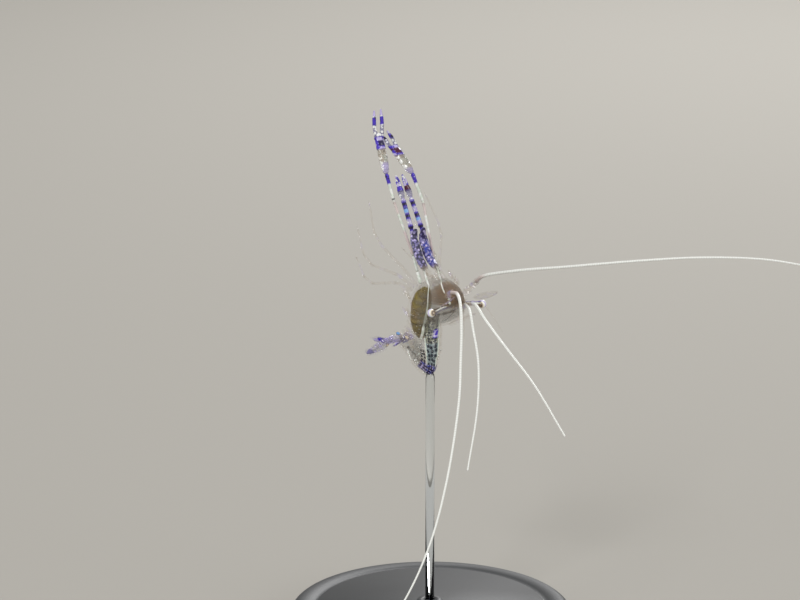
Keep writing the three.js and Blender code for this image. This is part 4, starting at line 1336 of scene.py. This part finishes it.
def build_mouth(tone, sizes):
    netted = netted_limb(tone)
    for name, joints in MAXILLIPED_JOINTS.items():
        bm = new_mesh()
        limb(bm, joints, MAXILLIPED_RADII, 20, flat=0.62, swell=1.04, pinch=0.9)
        for i in range(26):
            root = joints[3].lerp(joints[4], i / 25)
            out = Vector((math.cos(i * 2.4), math.sin(i * 2.4), -0.9)).normalized()
            spike(bm, root + out * 0.1, root + out * (0.1 + sizes.bristle / MM * 0.8), 0.012, 3)
        finished(f"maxilliped_{name}", bm, netted, "banded_limb")

    bm = new_mesh()
    for root, tip, radius in JAW_LOBES:
        for side in SIDES.values():
            a, b = to_side(vectors(root, tip), side)
            points = [a.lerp(b, i / 6) for i in range(7)]
            tube(bm, points, [radius * k for k in (0.55, 0.85, 1, 1, 0.9, 0.7, 0.45)], 14, 0.7)
            for i in range(7):
                out = Vector((0.3, math.sin(i * 1.1) * 0.6, -1)).normalized()
                spike(bm, b, b + out * 0.34, 0.012, 3)
    finished("jaw_lobes", bm, clear_chitin_limb(tone))


# ------------------------------------------------------------------ pincer legs

SMALL_ARM = vectors((-2.9, 0.75, -3.4), (-3.6, 0.58, -5.2), (-4.2, 0.56, -8.7), (-4.7, 0.45, -11.9))
SMALL_ARM_LENGTH = 8.73  # from root to wrist
SMALL_ARM_RADII = [0.26, 0.25, 0.24, 0.225]
SMALL_TIPS = {"left": Vector((-5.0, 0.42, -14.25)), "right": Vector((-5.0, -0.28, -14.25))}
LONG_ARM = {
    "left": vectors(
        (-3.6, 1.25, -3.4), (-4.0, 1.1, -4.65), (-4.25, 1.05, -6.3), (-4.8, 1.42, -11.9),
        (-5.0, 1.42, -14.6),
    ),
    "right": vectors(
        (-3.6, -1.25, -3.4), (-3.9, -1.15, -4.3), (-4.1, -1.05, -5.7), (-4.75, -1.7, -11.3),
        (-5.0, -1.4, -14.3),
    ),
}
LONG_ARM_RADII = [0.2, 0.15, 0.12, 0.14, 0.2]
PALM_ENDS = {"left": Vector((-5.2, 1.22, -18.6)), "right": Vector((-5.1, -0.05, -17.2))}
FIXED_TIPS = {"left": Vector((-5.2, 1.1, -20.9)), "right": Vector((-5.15, 0.12, -18.75))}
FREE_TIPS = {"left": Vector((-5.15, 0.3, -20.95)), "right": Vector((-5.6, 0.42, -18.3))}
# How far past the knuckle its violet, and then the ring of the fingers, start and end.
CLAW_BANDS = {"left": (-1.5, -0.25, 0.9, 1.7), "right": (-0.95, 0.1, 0.85, 1.3)}
FINGER_SPREAD = {"left": 0.3, "right": -0.27}  # how far to the side the fixed finger starts
PALM_SHARES = (0.0, 0.06, 0.16, 0.35, 0.6, 0.85, 1.0)
PALM_RADII = (0.2, 0.3, 0.4, 0.46, 0.48, 0.45, 0.37)


def build_small_pincers(tone, sizes):
    material = banded_limb(tone, sizes)
    for name, side in SIDES.items():
        joints = to_side(SMALL_ARM, side)
        bm = new_mesh()
        limb(bm, joints, SMALL_ARM_RADII, sizes.around)
        finished(f"small_pincer_leg_{name}", bm, material, "banded_limb")

        wrist, tip = joints[-1], SMALL_TIPS[name]
        bm = new_mesh()
        points = [wrist.lerp(tip, s) for s in (0.0, 0.1, 0.25, 0.4, 0.5)]
        tube(bm, points, [0.18, 0.28, 0.33, 0.32, 0.26], 18, 0.85, 0.6)
        for gap in (1, -1):
            root = wrist.lerp(tip, 0.48) + LEFT * 0.13 * gap
            bow = root.lerp(tip, 0.55) + LEFT * 0.08 * gap
            end = tip + LEFT * 0.03 * gap
            radii = [lerp(0.14, 0.07, i / 10) for i in range(11)]
            tube(bm, sampled([root, bow, end], 10), radii, 12, start=1.2)
        finished(f"small_pincer_{name}", bm, small_hand(tone), "banded_limb")


def build_long_pincers(tone, sizes):
    for name, side in SIDES.items():
        joints = LONG_ARM[name]
        bm = new_mesh()
        marks = limb(bm, joints, LONG_ARM_RADII, sizes.around)
        arm = lined_arm(tone, marks, name=f"lined_chitin_arm_{name}")
        finished(f"long_pincer_leg_{name}", bm, arm, "white_feeler")

        wrist, knuckle, tip = joints[-1], PALM_ENDS[name], FIXED_TIPS[name]
        claw_name = f"speckled_chitin_claw_{name}"
        claw = claw_cuticle(tone, knuckle.z, CLAW_BANDS[name], side < 0, name=claw_name)
        bm = new_mesh()
        points = sampled([wrist.lerp(knuckle, share) for share in PALM_SHARES], 20)
        tube(bm, points, sampled(PALM_RADII, 20), 22, 0.75, 0.5)
        finger(bm, wrist, knuckle, tip, FINGER_SPREAD[name], 5)
        finished(f"long_pincer_{name}", bm, claw, "banded_limb")

        bm = new_mesh()
        finger(bm, wrist, knuckle, FREE_TIPS[name], -FINGER_SPREAD[name], 4)
        finished(f"long_pincer_finger_{name}", bm, claw, "banded_limb")


def finger(bm, wrist, knuckle, tip, sideways, teeth):
    """A finger of the long hand, hooked inwards at its tip and toothed along its inner edge."""
    root = knuckle.lerp(wrist, 0.1) + LEFT * sideways
    middle = root.lerp(tip, 0.5) + LEFT * sideways * 0.25
    end = tip - LEFT * sideways * 0.12
    points = sampled([root, middle, end], 18)
    radii = [0.2 * (1 - 0.12 * i / 18) * (1 - 0.5 * smoothstep((i - 13) / 5)) for i in range(19)]
    tube(bm, points, radii, 16)
    inward = -math.copysign(1, sideways)
    for i in range(teeth):
        k = 3 + i * 3
        base = points[k] + LEFT * inward * radii[k] * 0.8
        spike(bm, base, base + LEFT * inward * 0.09 + (points[k + 1] - points[k]) * 0.3, 0.05, 6)


# The joints of each pair, and the radius of a leg at each joint.
WALKING_LEGS = [
    (
        (-4.35, 1.35, -3.3), (-4.9, 2.0, -5.2), (-5.7, 3.4, -7.9), (-6.1, 3.6, -9.4),
        (-6.6, 3.1, -12.6),
    ),
    (
        (-5.0, 1.35, -3.3), (-5.9, 2.2, -4.8), (-8.1, 3.6, -6.5), (-9.0, 3.7, -7.8),
        (-10.1, 3.1, -10.8),
    ),
    (
        (-5.65, 1.3, -3.1), (-6.8, 2.0, -4.2), (-9.7, 3.1, -4.9), (-10.9, 3.2, -5.9),
        (-12.7, 2.6, -8.4),
    ),
]
WALKING_LEG_RADII = [0.22, 0.16, 0.13, 0.11, 0.08]


def build_walking_legs(tone, sizes):
    material = clear_chitin_limb(tone)
    for i, joints in enumerate(WALKING_LEGS):
        for name, side in SIDES.items():
            bm = new_mesh()
            *run, toe = to_side(vectors(*joints), side)
            heel = run[-1].lerp(toe, 0.86)
            limb(bm, [*run, heel], WALKING_LEG_RADII, sizes.around)
            spike(bm, heel, toe, 0.07, 8)
            finished(f"walking_leg_{i + 1}_{name}", bm, material, "clear_shell")


# ------------------------------------------------------------------ stand and studio


def spun(name, profile, axis_point, steps, material, slot=None):
    """A closed solid of the stand, turned from a profile of radius and height."""
    bm = new_mesh()
    verts = [bm.verts.new(axis_point + Vector((r, 0, z))) for r, z in profile]
    edges = [bm.edges.new(pair) for pair in zip(verts, verts[1:])]
    bmesh.ops.spin(
        bm, geom=verts + edges, cent=axis_point, axis=(0, 0, 1), angle=2 * math.pi,
        steps=steps, use_merge=True,
    )
    bmesh.ops.remove_doubles(bm, verts=bm.verts[:], dist=1e-7)
    finished(name, bm, material, slot, pose=Matrix())


def build_stand(stage):
    """A turned base with a rounded rim and a groove, a clear rod and the rod's collar."""
    axis = Vector(((base_low.x + base_high.x) / 2, (base_low.y + base_high.y) / 2, 0))
    radius = (base_high.x - base_low.x) / 2
    top = base_high.z
    base = [(0, 0), (radius - 0.6 * MM, 0), (radius - 0.2 * MM, 0.12 * MM), (radius, 0.5 * MM)]
    edge = 0.9 * MM
    for degrees in range(90, -1, -15):
        a = math.radians(degrees)
        base.append((radius - edge + edge * math.sin(a), top - edge + edge * math.cos(a)))
    groove = radius - 2.4 * MM
    base += [(groove + 0.25 * MM, top), (groove, top - 0.22 * MM), (groove - 0.25 * MM, top)]
    spun("stand_base", [*base, (0, top)], axis, 128, moulded_abs(stage), "stand_plastic")

    foot = Vector(((rod_low.x + rod_high.x) / 2, (rod_low.y + rod_high.y) / 2, 0))
    thick = (rod_high.x - rod_low.x) / 2
    low, high = top + 0.01 * MM, rod_high.z - 0.1 * MM
    rod = [(0, low), (thick, low), (thick, high - 0.6 * MM), (thick * 0.8, high - 0.2 * MM)]
    spun("stand_rod", [*rod, (0, high)], foot, 32, cast_acrylic(), "clear_rod")
    steps = ((0, 0), (1.0, 0), (1.0, 0.5), (0.75, 0.9), (0, 0.95), (0, 0))
    collar = [(thick + out * MM, top + up * MM) for out, up in steps]
    spun("stand_collar", collar, foot, 48, moulded_abs(stage))


# The camera looks down on the animal along +Y, with the point between the eyes right of centre.
VIEW_DOWN = math.radians(15)
VIEW_DISTANCE = 0.320
VIEW_OFFSET = (-5.457 * MM, 0.733 * MM)
PIXELS_PER_METRE = 10500
FRAME_WIDTH = 800
SENSOR_WIDTH = 36.0
ROOM_WHITE = "#F1EFEA"


def lamp(name, place, aim, width, power):
    light = bpy.data.lights.new(name, "AREA")
    light.shape = "DISK"
    light.size = width
    light.energy = power
    holder = bpy.data.objects.new(name, light)
    holder.location = place
    holder.rotation_euler = (Vector(aim) - Vector(place)).to_track_quat("-Z", "Y").to_euler()
    bpy.context.scene.collection.objects.link(holder)


def build_stage(stage):
    scene = bpy.context.scene
    bm = bmesh.new()
    bmesh.ops.create_circle(bm, cap_ends=True, segments=96, radius=4.0)
    mesh = bpy.data.meshes.new("studio_floor")
    bm.to_mesh(mesh)
    bm.free()
    mesh.materials.append(painted_floor(stage))
    floor = bpy.data.objects.new("studio_floor", mesh)
    scene.collection.objects.link(floor)

    world = bpy.data.worlds.new("studio_room")
    world.use_nodes = True
    room = world.node_tree.nodes["Background"]
    room.inputs["Color"].default_value = (*linear(ROOM_WHITE), 1)
    room.inputs["Strength"].default_value = stage.sky
    scene.world = world

    aim = EYES_AT + Vector((0, 0, -0.002))
    lamp("key_lamp", (-0.22, -0.42, 0.42), aim, 0.16, stage.key)
    lamp("fill_lamp", (0.45, -0.3, 0.16), aim, 0.3, stage.fill)
    lamp("rim_lamp", (0.12, 0.4, 0.3), aim, 0.2, stage.rim)

    across, above_eyes = VIEW_OFFSET
    up = Vector((0, math.sin(VIEW_DOWN), math.cos(VIEW_DOWN)))
    back = Vector((0, -math.cos(VIEW_DOWN), math.sin(VIEW_DOWN)))
    camera = bpy.data.objects.new("camera", bpy.data.cameras.new("camera"))
    camera.location = EYES_AT + FORWARD * across + up * above_eyes + back * VIEW_DISTANCE
    camera.rotation_euler = (math.pi / 2 - VIEW_DOWN, 0, 0)
    camera.data.sensor_width = SENSOR_WIDTH
    camera.data.lens = SENSOR_WIDTH * VIEW_DISTANCE * PIXELS_PER_METRE / FRAME_WIDTH
    camera.data.clip_start = 0.02
    camera.data.clip_end = 20.0
    scene.collection.objects.link(camera)
    scene.camera = camera
    scene.view_settings.view_transform = "Standard"
    scene.cycles.transparent_max_bounces = 48
    scene.cycles.max_bounces = 16


# ------------------------------------------------------------------ operators and panel


def settings():
    scene = bpy.context.scene
    return scene.shrimp_colours, scene.shrimp_sizes, scene.shrimp_stage


class SHRIMP_OT_shell(bpy.types.Operator):
    """Builds the head shield, its saw-edged beak and its white lines"""

    bl_idname = "shrimp.shell"
    bl_label = "Head shield"

    def execute(self, context):
        tone, sizes, _ = settings()
        build_carapace(tone, sizes)
        build_rostrum(tone)
        build_pigment_and_highlight(tone)
        return {"FINISHED"}


class SHRIMP_OT_inside(bpy.types.Operator):
    """Builds the clear muscle, stomach, gland and gut that show through the shell"""

    bl_idname = "shrimp.inside"
    bl_label = "Inside the shell"

    def execute(self, context):
        build_thorax(settings()[0])
        return {"FINISHED"}


class SHRIMP_OT_eyes(bpy.types.Operator):
    """Builds the eyes and their stalks"""

    bl_idname = "shrimp.eyes"
    bl_label = "Eyes"

    def execute(self, context):
        build_eyes(*settings()[:2])
        return {"FINISHED"}


class SHRIMP_OT_feelers(bpy.types.Operator):
    """Builds the antennules, antennae, their scales and their long feelers"""

    bl_idname = "shrimp.feelers"
    bl_label = "Feelers"

    def execute(self, context):
        build_antennules(*settings()[:2])
        build_antennae(*settings()[:2])
        return {"FINISHED"}


class SHRIMP_OT_mouth(bpy.types.Operator):
    """Builds the mouth legs and the lobes of the jaws"""

    bl_idname = "shrimp.mouth"
    bl_label = "Mouth"

    def execute(self, context):
        build_mouth(*settings()[:2])
        return {"FINISHED"}


class SHRIMP_OT_pincers(bpy.types.Operator):
    """Builds both pairs of pincer legs"""

    bl_idname = "shrimp.pincers"
    bl_label = "Pincer legs"

    def execute(self, context):
        build_small_pincers(*settings()[:2])
        build_long_pincers(*settings()[:2])
        return {"FINISHED"}


class SHRIMP_OT_legs(bpy.types.Operator):
    """Builds the walking legs"""

    bl_idname = "shrimp.legs"
    bl_label = "Walking legs"

    def execute(self, context):
        build_walking_legs(*settings()[:2])
        return {"FINISHED"}


class SHRIMP_OT_abdomen(bpy.types.Operator):
    """Builds the plates of the abdomen with their paddles"""

    bl_idname = "shrimp.abdomen"
    bl_label = "Abdomen"

    def execute(self, context):
        build_abdomen(*settings()[:2])
        return {"FINISHED"}


class SHRIMP_OT_tail(bpy.types.Operator):
    """Builds the tail fan"""

    bl_idname = "shrimp.tail"
    bl_label = "Tail fan"

    def execute(self, context):
        build_tail(*settings()[:2])
        return {"FINISHED"}


class SHRIMP_OT_stand(bpy.types.Operator):
    """Builds the display stand"""

    bl_idname = "shrimp.stand"
    bl_label = "Stand"

    def execute(self, context):
        build_stand(settings()[2])
        return {"FINISHED"}


class SHRIMP_OT_stage(bpy.types.Operator):
    """Builds the studio: floor, room light, lamps and camera"""

    bl_idname = "shrimp.stage"
    bl_label = "Studio"

    def execute(self, context):
        build_stage(settings()[2])
        return {"FINISHED"}


OPERATORS = (
    SHRIMP_OT_stage,
    SHRIMP_OT_shell,
    SHRIMP_OT_inside,
    SHRIMP_OT_eyes,
    SHRIMP_OT_feelers,
    SHRIMP_OT_mouth,
    SHRIMP_OT_pincers,
    SHRIMP_OT_legs,
    SHRIMP_OT_abdomen,
    SHRIMP_OT_tail,
    SHRIMP_OT_stand,
)
GROUPS = (ShrimpSizes, ShrimpColours, ShrimpStage)


class SHRIMP_PT_panel(bpy.types.Panel):
    """Lists the sizes, colours and steps of the shrimp"""

    bl_idname = "SHRIMP_PT_panel"
    bl_label = "Cleaner shrimp"
    bl_space_type = "VIEW_3D"
    bl_region_type = "UI"
    bl_category = "Shrimp"

    def draw(self, context):
        for group in settings():
            box = self.layout.box()
            for name in group.__annotations__:
                box.prop(group, name)
        for operator in OPERATORS:
            self.layout.operator(operator.bl_idname)


def register():
    for cls in (*GROUPS, *OPERATORS, SHRIMP_PT_panel):
        bpy.utils.register_class(cls)
    bpy.types.Scene.shrimp_sizes = PointerProperty(type=ShrimpSizes)
    bpy.types.Scene.shrimp_colours = PointerProperty(type=ShrimpColours)
    bpy.types.Scene.shrimp_stage = PointerProperty(type=ShrimpStage)


def unregister():
    del bpy.types.Scene.shrimp_sizes
    del bpy.types.Scene.shrimp_colours
    del bpy.types.Scene.shrimp_stage
    for cls in reversed((*GROUPS, *OPERATORS, SHRIMP_PT_panel)):
        bpy.utils.unregister_class(cls)


def main():
    register()
    for operator in OPERATORS:
        group, name = operator.bl_idname.split(".")
        getattr(getattr(bpy.ops, group), name)()


if __name__ == "__main__":
    main()
